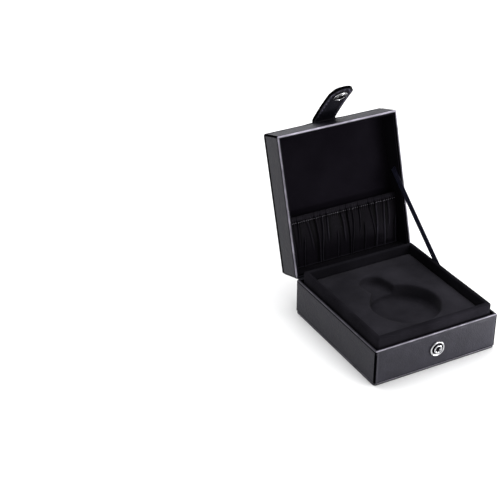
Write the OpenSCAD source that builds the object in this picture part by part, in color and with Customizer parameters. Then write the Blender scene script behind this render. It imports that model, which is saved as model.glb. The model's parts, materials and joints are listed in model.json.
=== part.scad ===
// Pocket watch display box: a leatherette case with a hinged lid that carries a padded top,
// a snap strap and a gathered cloth pocket, over a base with a velvet collar and a watch pad.
// Origin at the centre of the base's underside. +X right, -Y front (the snap), +Z up.
// The box is drawn open. Lid pieces are placed from the hinge line: Y runs back, Z up when shut.

/* [Case] */
// Width of the case, left to right
case_w = 100; // [80:1:140]
// Depth of the case, front to back
case_d = 105; // [85:1:145]
// Height of the base, underside to rim
base_h = 28; // [24:0.5:40]
// Height of the lid's walls, rim to top edge
lid_h = 19.5; // [16:0.5:26]
// Angle at which the lid stands open
open_deg = 107; // [95:1:115]
// Gap between the rims when the lid is shut
seam_gap = 0.5; // [0.3:0.1:1]

/* [Boards and skins] */
// Thickness of the wall boards
board_t = 1.6; // [1.2:0.1:2.2]
// Thickness of the leatherette skin
skin_t = 0.4; // [0.3:0.05:0.6]
// Width of the skin that is turned in over a rim
turn_in = 6; // [3:0.5:9]
// Width of the skin that is turned under the floor or over the lid's top board
turn_under = 8; // [5:0.5:12]
// Radius of the rolled rims
rim_r = 1; // [0.6:0.1:1.1]
// Radius of the case's upright corners
corner_r = 1.2; // [0.6:0.1:2]
// Thickness of the base's floor board
floor_t = 2.4; // [1.6:0.2:4]
// Thickness of the lid's top board
top_t = 2; // [1.6:0.2:3]
// Thickness of the bottom cover
cover_t = 1.6; // [1:0.1:2.5]
// Radius in plan of the bottom cover's corners
cover_r = 2.5; // [1:0.5:4]

/* [Collar and pad] */
// Thickness of the velvet-covered collar
collar_t = 3.4; // [3:0.2:6]
// Height of the collar above the base's rim
collar_rise = 7.5; // [2:0.5:9]
// Radius of the collar's rounded crest
collar_r = 1.1; // [0.4:0.1:1.4]
// Clearance between the collar and the lid's lining
collar_gap = 0.5; // [0.4:0.1:1]
// Depth of the pad's surface below the collar's top
pad_drop = 6; // [2:0.25:8]
// Clearance between the pad and the collar
pad_gap = 0.2; // [0.1:0.1:1]
// Thickness of the velvet over the pad
velvet_t = 0.6; // [0.4:0.1:1]
// Depth of the velvet turned down round the pad
velvet_skirt = 8; // [4:1:14]
// Diameter of the round well for the watch
well_d = 50; // [40:1:56]
// Depth of the round well
well_depth = 11; // [6:0.5:14]
// Distance of the well's centre in front of the case's centre
well_shift = 13; // [8:1:16]
// Width of the bow's slot
bow_w = 20; // [14:1:26]
// Reach of the bow's slot behind the case's centre, before it is turned
bow_reach = 30; // [26:1:36]
// Angle by which the slot is turned to the left about the well
bow_turn = 10; // [0:1:16]
// Depth of the bow's slot
bow_depth = 7; // [4:0.5:9]

/* [Lid lining and pocket] */
// Thickness of the velvet lining on the lid's walls
lining_t = 0.5; // [0.3:0.1:0.8]
// Thickness of the padded lining under the top board
panel_t = 1.2; // [0.8:0.1:2.5]
// Height of the pocket's elastic line above the hinge
pocket_h = 37.5; // [28:0.5:60]
// Height of the ruffle above the elastic line
ruffle_h = 5.5; // [3:0.5:9]
// Thickness of the pocket's cloth
cloth_t = 0.6; // [0.4:0.1:1]
// How far the pocket stands off the panel at its fullest
pocket_puff = 2.6; // [1:0.1:4]
// How far the ruffle leans off the panel at its edge
ruffle_out = 1.2; // [0.5:0.1:2.5]
// Number of gathers across the pocket
folds = 15; // [8:1:20]
// Depth of the gathers
fold_depth = 2.1; // [0.5:0.1:2.6]
// Width of the elastic band
elastic_w = 3; // [2:0.5:5]
// Thickness of the elastic band
elastic_t = 0.7; // [0.4:0.1:1]

/* [Padded top] */
// Height of the recess between the lid's walls and the padded top
recess_h = 0.6; // [0.3:0.1:1.2]
// Inset of that recess
recess_in = 1; // [0.6:0.1:2]
// Thickness of each leather layer of the top
leather_t = 0.85; // [0.6:0.05:1.2]
// Distance of the stitch line from the top's edge
stitch_in = 4; // [3:0.25:7]
// Height of the padded crown above the flat border
crown_h = 4.2; // [2:0.2:7]
// Radius in plan of the top's corners
top_r = 1.6; // [1:0.2:3]
// Spacing of the stitches
stitch_pitch = 4; // [3:0.25:6]
// Thickness of the sewing thread
thread_d = 0.6; // [0.4:0.05:0.9]

/* [Strap and snap] */
// Width of the strap
strap_w = 18.5; // [15:0.5:24]
// Thickness of the strap's two layers together
strap_t = 2.4; // [1.8:0.1:3]
// Length of the strap's root under the padded top
tongue_l = 8; // [5:1:12]
// Angle by which the strap springs away from its shut place
strap_open = 32; // [20:1:45]
// Distance of the snap below the base's rim
snap_below = 13; // [12.5:0.25:14]
// Distance from the snap's centre to the strap's tip
tip_reach = 10.4; // [9.8:0.2:11]
// Gap between the strap and the front wall at the snap
strap_gap = 2.5; // [2.2:0.1:3.5]
// How far the strap's fold stands in front of the wall
fold_out = 1.6; // [1.5:0.1:2.4]
// Distance of the strap's stitches from its edge
strap_stitch_in = 1.7; // [1.2:0.1:2.2]
// Spacing of the strap's stitches
strap_pitch = 5; // [4:0.25:7]
// Diameter of the snap's domed cap
cap_d = 14.4; // [12:0.2:15]
// Height of the snap's domed cap
cap_h = 3; // [2:0.2:4]
// Outer diameter of the snap's stud ring
stud_d = 11.5; // [10:0.25:12.5]
// Diameter of the stud's bulb
bulb_d = 6.2; // [5:0.1:7]
// Outer diameter of the snap's socket
socket_d = 10.6; // [9.5:0.1:12]
// Clearance between bulb and socket
snap_fit = 0.3; // [0.2:0.05:0.4]

/* [Ribbon and hinge] */
// Width of the stay ribbon
ribbon_w = 6; // [4:0.5:8]
// Thickness of the stay ribbon
ribbon_t = 0.3; // [0.2:0.05:0.35]
// Distance of the ribbon's lower end in front of the hinge
ribbon_front = 47; // [26:1:50]
// Depth of the ribbon's lower end below the base's rim
ribbon_tuck = 3; // [2:0.5:6]
// Distance of the ribbon's upper end from the hinge along the lid
ribbon_up = 61; // [48:1:70]
// Depth of the ribbon's upper end inside the lid
ribbon_in = 9; // [6:0.5:12]
// Width of the hinge spine on either side of the seam
spine_w = 6; // [4:0.5:9]

/* [Hidden] */
$fn = 64;
eps = 0.01;
touch = 0.02; // air between pieces that lie on each other but must not cut in
panel_gap = 0.05; // air round the lid's panel
leather = [0.21, 0.21, 0.23];
velvet = [0.10, 0.10, 0.12];
board_grey = [0.55, 0.53, 0.50];
foam_grey = [0.40, 0.40, 0.40];
satin = [0.07, 0.07, 0.08];
thread_black = [0.07, 0.07, 0.08];
chrome = [0.80, 0.81, 0.83];

// Case, worked out
wall_in = skin_t + board_t; // outer face to the board's inner face
wall_t = wall_in + skin_t; // with the skin turned in
board_r = max(corner_r - skin_t, skin_t / 2); // the boards' upright corners, under the skin
rim_z = base_h - seam_gap / 2;
base_wall_h = rim_z - cover_t;
lid_wall_h = lid_h - seam_gap / 2;
floor_z = cover_t + skin_t;
floor_top = floor_z + floor_t;
lining_in = wall_t + lining_t;
collar_in = lining_in + collar_gap;
collar_top = base_h + collar_rise;
pad_in = collar_in + collar_t + pad_gap;
pad_top = collar_top - pad_drop;
pad_w = case_w - 2 * pad_in;
pad_d = case_d - 2 * pad_in;
pad_r = 2; // the pad's corners in plan
panel_z = lid_h - skin_t - top_t - panel_t; // the lid panel's face, from the rim

// Padded top, worked out, heights from the hinge line with the lid shut
back_z = lid_h + recess_h;
cover_z = back_z + leather_t + touch;
flange_z = cover_z + leather_t;
top_hw = case_w / 2;
top_hd = case_d / 2;
crown_hw = top_hw - stitch_in - thread_d;
crown_hd = top_hd - stitch_in - thread_d;
strap_rise = strap_t - recess_h + 0.1; // lift of the border over the strap
rise_side = strap_w / 2 + 1; // half width of the lifted part
rise_back = tongue_l + 0.5; // its depth from the front edge
rise_ramp = 8; // length of the ramps round it
foam_gap = 0.2; // air between the foam and the leather

// Strap, worked out in the lid's frame: the fold's axis, and the arc from the fold to the snap
fold_y = -case_d - fold_out;
fold_z = lid_h + 0.1 + strap_t / 2;
snap_drop = fold_z + snap_below;
snap_out = strap_gap + strap_t / 2 - fold_out;
arc_deg = 2 * atan(snap_out / snap_drop);
arc_r = snap_drop / sin(arc_deg);
fold_clear = 0.3;
ply_t = strap_t / 2;
ply_gap = 0.05; // the plies stop this far short of the fold's axis
flap_cy = arc_r * cos(arc_deg); // the arc's centre, from the fold's axis
tip_z = -snap_drop - tip_reach;
stud_t = 0.7; // the stud ring's rolled edge, and its flat flange
flange_t = 0.4;
bulb_h = 1.95; // the bulb's top above the wall
socket_h = strap_gap - stud_t - 0.4;
snap_z = base_h - snap_below;
shank_r = 1.5;
hole_r = shank_r + 0.05; // the holes that the stud's shank and the cap's rivet pass
washer_t = 0.5;

// ---- profiles: X runs inward from the case's outer face, Y from the closed end to the rim ----
module rim_2d(w, h, r) {
  square([w, h - r]);
  translate([r, 0]) square([w - 2 * r, h]);
  for (x = [r, w - r]) translate([x, h - r]) circle(r);
}

module board_2d(h) {
  translate([skin_t, skin_t]) rim_2d(board_t, h - 2 * skin_t, min(rim_r - skin_t, board_t / 2 - eps));
}

module skin_2d(h) {
  difference() {
    union() {
      rim_2d(wall_t, h, min(rim_r, wall_t / 2 - eps));
      square([turn_under, skin_t]);
    }
    board_2d(h);
    translate([wall_in, skin_t]) square([wall_t, h - turn_in - skin_t]);
  }
}

// One side of a square frame, mitred at both ends, its outer face at y = 0
module mitred(len, z0, z1, reach) {
  intersection() {
    rotate([90, 0, 90]) linear_extrude(len, center = true) children();
    translate([0, 0, z0])
      linear_extrude(z1 - z0)
        polygon([[-len / 2, 0], [len / 2, 0], [len / 2 - reach, reach], [reach - len / 2, reach]]);
  }
}

// Puts a side in its place: 0 front, 1 right, 2 back, 3 left
module at_side(side, w, d) {
  out = side % 2 == 0 ? d / 2 : w / 2;
  rotate([0, 0, side * 90]) translate([0, -out, 0]) children();
}

function side_len(side, w, d) = side % 2 == 0 ? w : d;

module wall_board(side, h) {
  intersection() {
    at_side(side, case_w, case_d)
      mitred(side_len(side, case_w, case_d), 0, h, wall_t) board_2d(h);
    corner_round(case_w - 2 * skin_t, case_d - 2 * skin_t, 0, h, board_r);
  }
}

module corner_round(w, d, z0, z1, r) {
  translate([0, 0, z0]) linear_extrude(z1 - z0) rounded_2d(w, d, r);
}

module rounded_2d(w, d, r) {
  square([w - 2 * r, d], center = true);
  square([w, d - 2 * r], center = true);
  for (x = [-1, 1]) for (y = [-1, 1]) translate([x * (w / 2 - r), y * (d / 2 - r)]) circle(r);
}

module skin_shell(h) {
  intersection() {
    union() {
      for (side = [0:3])
        at_side(side, case_w, case_d)
          mitred(side_len(side, case_w, case_d), 0, h, turn_under) skin_2d(h);
    }
    corner_round(case_w, case_d, 0, h, corner_r);
  }
}

// ---- placing ----
module base_wall_place() {
  translate([0, 0, cover_t]) children();
}

// From the hinge line: the lid shut, then swung open
module lid_place() {
  translate([0, case_d / 2, base_h]) rotate([-open_deg, 0, 0]) children();
}

// Walls of the lid hang upside down from its top edge
module lid_wall_place() {
  lid_place() translate([0, -case_d / 2, lid_h]) mirror([0, 0, 1]) children();
}

module lid_top_place() {
  lid_place() translate([0, -case_d / 2, 0]) children();
}

// The strap's frame: the fold's axis at the origin, the strap hanging down when shut
module strap_place() {
  lid_place() translate([0, fold_y, fold_z]) rotate([-strap_open, 0, 0]) children();
}

// ---- base ----
module bottom_cover() {
  color(leather) corner_round(case_w, case_d, 0, cover_t, cover_r);
}

module base_board(side) {
  color(board_grey) base_wall_place() wall_board(side, base_wall_h);
}

module base_front_board() {
  difference() {
    base_board(0);
    color(board_grey) stud_axis() cylinder(r = hole_r, h = 6 * wall_t, center = true);
  }
}

module base_back_board() {
  base_board(2);
}

module base_left_board() {
  base_board(3);
}

module base_right_board() {
  base_board(1);
}

module base_floor_board() {
  color(board_grey)
    translate([-case_w / 2 + wall_in, -case_d / 2 + wall_in, floor_z])
      cube([case_w - 2 * wall_in, case_d - 2 * wall_in, floor_t]);
}

module base_wrap() {
  color(leather) difference() {
    base_wall_place() skin_shell(base_wall_h);
    spine_seat(-1);
    stud_axis() cylinder(r = hole_r, h = 6 * wall_t, center = true);
  }
}

// Room in a back wall's skin for the hinge spine, below the seam or above it
module spine_seat(dir) {
  translate([0, case_d / 2, base_h])
    rotate([dir > 0 ? -open_deg : 0, 0, 0])
      translate([-case_w / 2, -skin_t, dir > 0 ? -1 : -spine_w])
        cube([case_w, skin_t + 1, spine_w + 1]);
}

module collar_2d() {
  rim_2d(collar_t, collar_top - floor_top, collar_r);
}

module collar_board(side) {
  w = case_w - 2 * collar_in;
  d = case_d - 2 * collar_in;
  color(velvet) translate([0, 0, floor_top]) intersection() {
    at_side(side, w, d)
      mitred(side_len(side, w, d), 0, collar_top - floor_top, collar_t) collar_2d();
    corner_round(w, d, 0, collar_top - floor_top, collar_t / 2);
  }
}

module collar_front() {
  collar_board(0);
}

module collar_back() {
  collar_board(2);
}

module collar_left() {
  collar_board(3);
}

module collar_right() {
  collar_board(1);
}

// The watch's well and the bow's slot behind it, both grown by g
module watch_well(g) {
  translate([0, -well_shift, pad_top - well_depth - g])
    cylinder(d = well_d + 2 * g, h = well_depth + g + 1, $fn = 96);
  slot = well_shift + bow_reach - bow_w / 2; // from the well's centre to the slot's round end
  translate([0, -well_shift, pad_top - bow_depth - g]) rotate([0, 0, bow_turn])
    linear_extrude(bow_depth + g + 1) {
      translate([-bow_w / 2 - g, 0]) square([bow_w + 2 * g, slot]);
      translate([0, slot]) circle(bow_w / 2 + g);
    }
}

module pad_foam() {
  color(foam_grey) difference() {
    translate([0, 0, floor_top])
      linear_extrude(pad_top - velvet_t - floor_top)
        square([pad_w - 2 * velvet_t, pad_d - 2 * velvet_t], center = true);
    watch_well(velvet_t);
  }
}

module pad_velvet() {
  color(velvet) difference() {
    union() {
      difference() {
        corner_round(pad_w, pad_d, pad_top - velvet_skirt, pad_top, pad_r);
        translate([0, 0, pad_top - velvet_skirt - 1])
          linear_extrude(velvet_skirt + 1 - velvet_t)
            square([pad_w - 2 * velvet_t, pad_d - 2 * velvet_t], center = true);
      }
      intersection() {
        watch_well(velvet_t);
        corner_round(pad_w, pad_d, floor_top, pad_top, pad_r);
      }
    }
    watch_well(0);
  }
}

// Axis of the stud on the front wall, +Z pointing out of the wall
module stud_axis() {
  translate([0, -case_d / 2, snap_z]) rotate([90, 0, 0]) children();
}

// A pressed ring: flat flange with a rolled outer edge
module snap_stud_ring() {
  color(chrome) stud_axis() rotate_extrude() {
    translate([hole_r, 0]) square([stud_d / 2 - hole_r - stud_t / 2, flange_t]);
    translate([stud_d / 2 - stud_t / 2, stud_t / 2]) circle(stud_t / 2);
  }
}

// The bulb with its dark hollow, on a shank through the wall
module snap_stud_post() {
  seat = flange_t + touch;
  bead_r = 0.45;
  shell_t = 1.1;
  color(chrome) stud_axis() rotate_extrude() difference() {
    union() {
      translate([0, -wall_in - washer_t]) square([shank_r, wall_in + washer_t + seat]);
      translate([0, seat]) square([bulb_d / 2 - bead_r, bulb_h - seat]);
      translate([bulb_d / 2 - bead_r, bulb_h - bead_r]) circle(bead_r);
    }
    translate([-1, seat + flange_t]) square([1 + bulb_d / 2 - shell_t, bulb_h]);
    translate([-5, -10]) square([5, 20]);
  }
}

module snap_stud_washer() {
  color(chrome) stud_axis() translate([0, 0, -wall_in - washer_t]) difference() {
    cylinder(d = stud_d - 2, h = washer_t - touch);
    translate([0, 0, -1]) cylinder(r = hole_r, h = washer_t + 2);
  }
}

// The ribbon runs in the gap between the collar and the lid's lining, pulled straight
module stay_ribbon() {
  hinge = [case_d / 2, base_h];
  low = hinge + [-ribbon_front, -ribbon_tuck];
  high = hinge + ribbon_up * [-cos(open_deg), sin(open_deg)] + ribbon_in * [sin(open_deg), cos(open_deg)];
  run = high - low;
  x = case_w / 2 - lining_in - collar_gap / 2 - ribbon_t / 2;
  color([0.08, 0.08, 0.14])
    translate([x, low[0], low[1]])
      rotate([atan2(run[1], run[0]), 0, 0])
        translate([0, 0, -ribbon_w / 2])
          cube([ribbon_t, norm(run), ribbon_w]);
}

// The leatherette spine: a leaf on each back wall, rolled round the hinge line
spine_leaf = [case_w - 2 * corner_r, skin_t, spine_w];

module spine_lower() {
  color(leather) translate([0, case_d / 2, base_h]) {
    translate([-spine_leaf[0] / 2, -skin_t, -spine_w]) cube(spine_leaf);
    rotate([0, 90, 0]) cylinder(r = skin_t, h = spine_leaf[0], center = true);
  }
}

module spine_upper() {
  color(leather) lid_place() difference() {
    translate([-spine_leaf[0] / 2, -skin_t, 0]) cube(spine_leaf);
    rotate([0, 90, 0]) cylinder(r = skin_t + touch, h = spine_leaf[0] + 2, center = true);
  }
}

// ---- lid ----
module lid_board(side) {
  color(board_grey) lid_wall_place() wall_board(side, lid_wall_h);
}

module lid_front_board() {
  lid_board(0);
}

module lid_back_board() {
  lid_board(2);
}

module lid_left_board() {
  lid_board(3);
}

module lid_right_board() {
  lid_board(1);
}

module lid_top_board() {
  color(board_grey) lid_wall_place()
    translate([-case_w / 2 + wall_in, -case_d / 2 + wall_in, skin_t])
      cube([case_w - 2 * wall_in, case_d - 2 * wall_in, top_t]);
}

module lid_wrap() {
  color(leather) difference() {
    lid_wall_place() skin_shell(lid_wall_h);
    spine_seat(1);
  }
}

// Velvet on the inside of a lid wall, from just above the rim to the panel
module lining_wall(side) {
  w = case_w - 2 * wall_t;
  d = case_d - 2 * wall_t;
  z0 = seam_gap / 2 + rim_r;
  color(velvet) lid_top_place()
    at_side(side, w, d)
      mitred(side_len(side, w, d), z0, panel_z, lining_t)
        translate([0, z0]) square([lining_t, panel_z - z0]);
}

module lining_front() {
  lining_wall(0);
}

module lining_back() {
  lining_wall(2);
}

module lining_left() {
  lining_wall(3);
}

module lining_right() {
  lining_wall(1);
}

module lining_panel() {
  color(velvet) lid_top_place()
    corner_round(case_w - 2 * wall_t - 2 * panel_gap, case_d - 2 * wall_t - 2 * panel_gap,
                 panel_z + touch, panel_z + panel_t - touch, corner_r);
}

// ---- gathered pocket: u runs across the lid, v up from the hinge side to the ruffle's edge ----
cloth_gap = 0.3; // air between the cloth and what lies round it
pocket_w = case_w - 2 * lining_in - 2 * cloth_gap;
pocket_low = lining_in + 2 * cloth_gap;
pocket_top = pocket_h + ruffle_h;
cells_u = 4 * folds;
rows_low = 7; // rows of cells below the elastic line, and in the ruffle above it
rows_high = 2;
cells_v = rows_low + rows_high;
seam_v = (pocket_h - pocket_low) / (pocket_top - pocket_low);
function row_v(j) =
  j <= rows_low ? seam_v * j / rows_low : seam_v + (1 - seam_v) * (j - rows_low) / rows_high;

// How far the cloth's back stands off the panel
function puff(v) =
  elastic_t + cloth_gap + (v < seam_v ? pocket_puff * pow(sin(180 * pow(v / seam_v, 0.8)), 1.2)
                                      : ruffle_out * sin(90 * (v - seam_v) / (1 - seam_v)));
// The folds: uneven in width and depth, swaying as they fall, sharp on their crests
function fold_turn(u, v) =
  folds * u + 0.3 * sin(360 * 1.7 * u + 20) + 0.22 * sin(360 * 3.1 * u + 200) * (1.2 - v);
function fold_share(u) = 0.68 + 0.32 * sin(360 * 2.7 * u + 70);
function gather(u, v) =
  let (fall = 0.4 + 0.6 * min(1, v / seam_v))
  fold_depth * fall * fold_share(u) * pow(0.5 - 0.5 * cos(360 * fold_turn(u, v)), 1.4);
side_w = 8; // width at each side over which the cloth comes down on the panel
function taper(u) = min(1, u * pocket_w / side_w, (1 - u) * pocket_w / side_w);
function cloth_off(u, v) = cloth_gap + taper(u) * (puff(v) + gather(u, v) - cloth_gap);
function cloth_at(u, v, lift) =
  [(u - 0.5) * pocket_w, -(pocket_low + v * (pocket_top - pocket_low)), panel_z - cloth_off(u, v) - lift];

// A closed sheet over a grid of points, given its two faces row by row
module sheet(low, high, nu, nv) {
  n = (nu + 1) * (nv + 1);
  at = function (i, j) j * (nu + 1) + i;
  faces = [
    for (j = [0:nv - 1]) for (i = [0:nu - 1]) each [
      [at(i, j), at(i + 1, j), at(i + 1, j + 1)], [at(i, j), at(i + 1, j + 1), at(i, j + 1)],
      [n + at(i, j), n + at(i + 1, j + 1), n + at(i + 1, j)],
      [n + at(i, j), n + at(i, j + 1), n + at(i + 1, j + 1)]
    ],
    for (i = [0:nu - 1]) each [
      [at(i, 0), n + at(i, 0), n + at(i + 1, 0)], [at(i, 0), n + at(i + 1, 0), at(i + 1, 0)],
      [at(i, nv), n + at(i + 1, nv), n + at(i, nv)], [at(i, nv), at(i + 1, nv), n + at(i + 1, nv)]
    ],
    for (j = [0:nv - 1]) each [
      [at(0, j), n + at(0, j + 1), n + at(0, j)], [at(0, j), at(0, j + 1), n + at(0, j + 1)],
      [at(nu, j), n + at(nu, j), n + at(nu, j + 1)], [at(nu, j), n + at(nu, j + 1), at(nu, j + 1)]
    ]
  ];
  polyhedron(concat(low, high), faces);
}

module pocket_cloth() {
  grid = function (lift)
    [for (j = [0:cells_v]) for (i = [0:cells_u]) cloth_at(i / cells_u, row_v(j), lift)];
  color(satin) lid_place() sheet(grid(0), grid(cloth_t), cells_u, cells_v);
}

module pocket_elastic() {
  color([0.12, 0.12, 0.13]) lid_place()
    translate([-pocket_w / 2 + side_w, -pocket_h - elastic_w / 2, panel_z - elastic_t])
      cube([pocket_w - 2 * side_w, elastic_w, elastic_t - touch]);
}

// The gathering thread: a thin run that rides over the folds along the elastic line
module pocket_thread() {
  half = thread_d / 2;
  line = [for (i = [2:cells_u - 2]) cloth_at(i / cells_u, seam_v, cloth_t + 5 * touch)];
  row = function (y) [for (p = line) p + [0, y, 0]];
  lifted = function (y) [for (p = line) p + [0, y, -half]];
  color(thread_black) lid_place()
    sheet(concat(row(half), row(-half)), concat(lifted(half), lifted(-half)), len(line) - 1, 1);
}

// ---- padded top: a grid over the lid's outline, drawn round at the corners ----
edge_lines = [for (e = [0, 0.5, 0.9, 1.15]) e * stitch_in]; // the border's lines, from the edge
rise_end = rise_back + rise_ramp - top_hd;
function between(a, b, n) = [for (k = [0:n - 1]) a + (b - a) * k / n];
half_lines = concat(
  [for (e = edge_lines) top_hw - e],
  [for (k = [1:2]) top_hw - edge_lines[3] - k * (top_hw - edge_lines[3] - rise_side - rise_ramp) / 3],
  between(rise_side + rise_ramp, rise_side, 3),
  between(rise_side, 0, 2)
);
x_lines = concat([for (x = half_lines) -x], [0], [for (k = [len(half_lines) - 1:-1:0]) half_lines[k]]);
y_lines = concat(
  [for (e = edge_lines) e - top_hd],
  [for (k = [0:2]) rise_back + k * rise_ramp / 2 - top_hd],
  [for (k = [1:11]) rise_end + k * (top_hd - edge_lines[3] - rise_end) / 12],
  [for (k = [3:-1:0]) top_hd - edge_lines[k]]
);
function drawn_round(p, hw, hd, r) =
  let (c = [max(0, abs(p[0]) - hw + r), max(0, abs(p[1]) - hd + r)], l = norm(c))
  l == 0 ? p : [sign(p[0]) * (min(abs(p[0]), hw - r) + c[0] * max(c) / l),
                sign(p[1]) * (min(abs(p[1]), hd - r) + c[1] * max(c) / l)];
function ramp(x) = x <= 0 ? 0 : x >= 1 ? 1 : x * x * (3 - 2 * x);
// Lift of the border where it passes over the strap
function rise(p) =
  strap_rise * ramp(1 + (rise_side - abs(p[0])) / rise_ramp)
             * ramp(1 + (rise_back - top_hd - p[1]) / rise_ramp);
// The crown: steep at the stitch line, flattening to the middle
function swell(t) = t >= 1 ? 0 : pow(1 - pow(t, 2.6), 0.75);
function crown(p) =
  crown_h * swell(abs(p[0]) / crown_hw) * swell(abs(p[1]) / crown_hd);
function top_grid(z, full, skip) =
  [for (j = [skip:len(y_lines) - 1 - skip]) for (i = [skip:len(x_lines) - 1 - skip])
    let (p = [x_lines[i], y_lines[j]], q = drawn_round(p, top_hw, top_hd, top_r))
    [q[0], q[1], z + rise(p) + full * crown(p)]];

// A layer of the top between two heights, its crown in or out, its outer lines skipped
module top_layer(low, low_crown, high, high_crown, skip) {
  sheet(top_grid(high, high_crown, skip), top_grid(low, low_crown, skip),
        len(x_lines) - 1 - 2 * skip, len(y_lines) - 1 - 2 * skip);
}

module cushion_mount() {
  w = case_w - 2 * recess_in;
  d = case_d - 2 * recess_in;
  color(thread_black) lid_top_place() difference() {
    corner_round(w, d, lid_h + touch, back_z - touch, top_r);
    translate([-rise_side, -case_d / 2 - 1, lid_h - 1]) cube([2 * rise_side, rise_back + 1, recess_h + 2]);
  }
}

module cushion_backing() {
  color(leather) lid_top_place() top_layer(back_z, 0, back_z + leather_t, 0, 0);
}

module cushion_cover() {
  color([0.27, 0.26, 0.25]) lid_top_place() top_layer(cover_z, 1, flange_z, 1, 0);
}

module cushion_foam() {
  color(foam_grey) lid_top_place() top_layer(cover_z + foam_gap, 0, cover_z - foam_gap, 1, len(edge_lines));
}

module cushion_stitching() {
  long = stitch_pitch * 0.68;
  color(thread_black) lid_top_place()
    for (side = [0:3]) {
      half = side % 2 == 0 ? top_hw : top_hd;
      out = side % 2 == 0 ? top_hd : top_hw;
      run = 2 * (half - stitch_in);
      count = floor(run / stitch_pitch);
      for (k = [0:count - 1]) {
        along = (k + 0.5) * run / count - run / 2;
        lift = side == 0 ? rise([max(0, abs(along) - stitch_pitch), -out]) : 0;
        rotate([0, 0, side * 90])
          translate([along - long / 2, -out + stitch_in - thread_d, flange_z + touch + lift])
            cube([long, thread_d, thread_d * 0.6]);
      }
    }
}

// The strap's root, glued between the top's backing and the lid, hollowed for the fold
module strap_tongue() {
  color(leather) lid_place() difference() {
    translate([-strap_w / 2, fold_y + ply_t / 2, lid_h + 0.05])
      cube([strap_w, tongue_l + fold_out - ply_t / 2, strap_t - 0.1]);
    translate([0, fold_y, fold_z]) {
      rotate([0, 90, 0]) cylinder(r = ply_t + fold_clear, h = strap_w + 2, center = true);
      translate([-strap_w, 0, -strap_t]) cube([2 * strap_w, ply_t + fold_clear, strap_t]);
    }
  }
}

// ---- strap ----
// Outline of the strap from the front, its tip round
module strap_outline() {
  translate([-strap_w / 2, tip_z + strap_w / 2]) square([strap_w, -tip_z]);
  translate([0, tip_z + strap_w / 2]) circle(strap_w / 2, $fn = 128);
}

// A ply of the strap: a slice of a drum about the arc's centre, between two radii
module strap_ply(r0, r1) {
  intersection() {
    translate([0, flap_cy, -snap_drop]) rotate([0, 90, 0])
      difference() {
        cylinder(r = r1, h = strap_w + 1, center = true, $fn = 720);
        cylinder(r = r0, h = strap_w + 2, center = true, $fn = 720);
      }
    rotate([90, 0, 0]) linear_extrude(strap_w, center = true) strap_outline();
    translate([-strap_w, -strap_w, tip_z - 1]) cube([2 * strap_w, 2 * strap_w, 1 - tip_z - ply_gap]);
  }
}

module snap_axis() {
  translate([0, -snap_out, -snap_drop]) rotate([90, 0, 0]) children();
}

module rivet_hole() {
  snap_axis() cylinder(r = hole_r, h = 4 * strap_t, center = true);
}

module strap_outer() {
  color(leather) strap_place() {
    difference() {
      strap_ply(arc_r, arc_r + ply_t);
      rivet_hole();
    }
    rotate([0, 90, 0]) cylinder(r = ply_t, h = strap_w, center = true);
  }
}

module strap_lining() {
  color(leather) strap_place() difference() {
    strap_ply(arc_r - ply_t, arc_r - touch);
    rivet_hole();
    rotate([0, 90, 0]) cylinder(r = ply_t + touch, h = strap_w + 2, center = true);
  }
}

// Stitches along both edges and round the tip, lying on the outer ply
module strap_stitching() {
  edge = strap_w / 2 - strap_stitch_in;
  tip_c = tip_z + strap_w / 2;
  long = strap_pitch * 0.66;
  count = floor((-tip_c - 2) / strap_pitch);
  turn = 4;
  color([0.30, 0.30, 0.32]) strap_place() {
    for (x = [-edge, edge]) for (k = [0:count - 1]) stitch_at(x, tip_c + (k + 0.5) * strap_pitch, 0, long);
    for (k = [0:turn - 1]) {
      a = -180 * (k + 0.5) / turn;
      stitch_at(edge * cos(a), tip_c + edge * sin(a), a, long * 0.85);
    }
  }
}

// One stitch at (x, z) from the front, seated on the curved ply and turned by a
module stitch_at(x, z, a, long) {
  lean = asin((z + snap_drop) / (arc_r + ply_t));
  y = flap_cy - (arc_r + ply_t + touch + 0.03) * cos(lean);
  translate([x, y, z]) rotate([-lean, 0, 0]) rotate([0, -a, 0])
    translate([-thread_d / 2, -thread_d * 0.6, -long / 2]) cube([thread_d, thread_d * 0.6, long]);
}

// Domed cap over a short collar, on the strap's outer face
module snap_cap() {
  dome_r = (pow(cap_d / 2, 2) + pow(cap_h - 0.6, 2)) / (2 * (cap_h - 0.6));
  color([0.04, 0.04, 0.05]) strap_place() snap_axis() translate([0, 0, ply_t + touch]) rotate_extrude() {
    square([cap_d / 2 - 0.3, 0.6]);
    translate([cap_d / 2 - 0.3, 0.3]) circle(0.3);
    intersection() {
      translate([0, cap_h - dome_r]) circle(dome_r, $fn = 180);
      translate([0, 0.3]) square([cap_d / 2 - 0.25, cap_h]);
    }
  }
}

module snap_rivet() {
  color(chrome) strap_place() snap_axis()
    translate([0, 0, -ply_t - 0.1]) cylinder(r = shank_r, h = strap_t + 0.1);
}

// Ring socket on the strap's inner face, open towards the wall
module snap_socket() {
  bore_r = bulb_d / 2 + snap_fit;
  base_t = 0.3;
  color(chrome) strap_place() snap_axis() translate([0, 0, -ply_t - 0.1 - touch]) mirror([0, 0, 1])
    rotate_extrude() {
      square([socket_d / 2 - 0.4, base_t]);
      translate([bore_r, 0]) square([socket_d / 2 - 0.35 - bore_r, socket_h]);
      translate([socket_d / 2 - socket_h / 2, socket_h / 2]) circle(socket_h / 2);
    }
}

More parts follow.
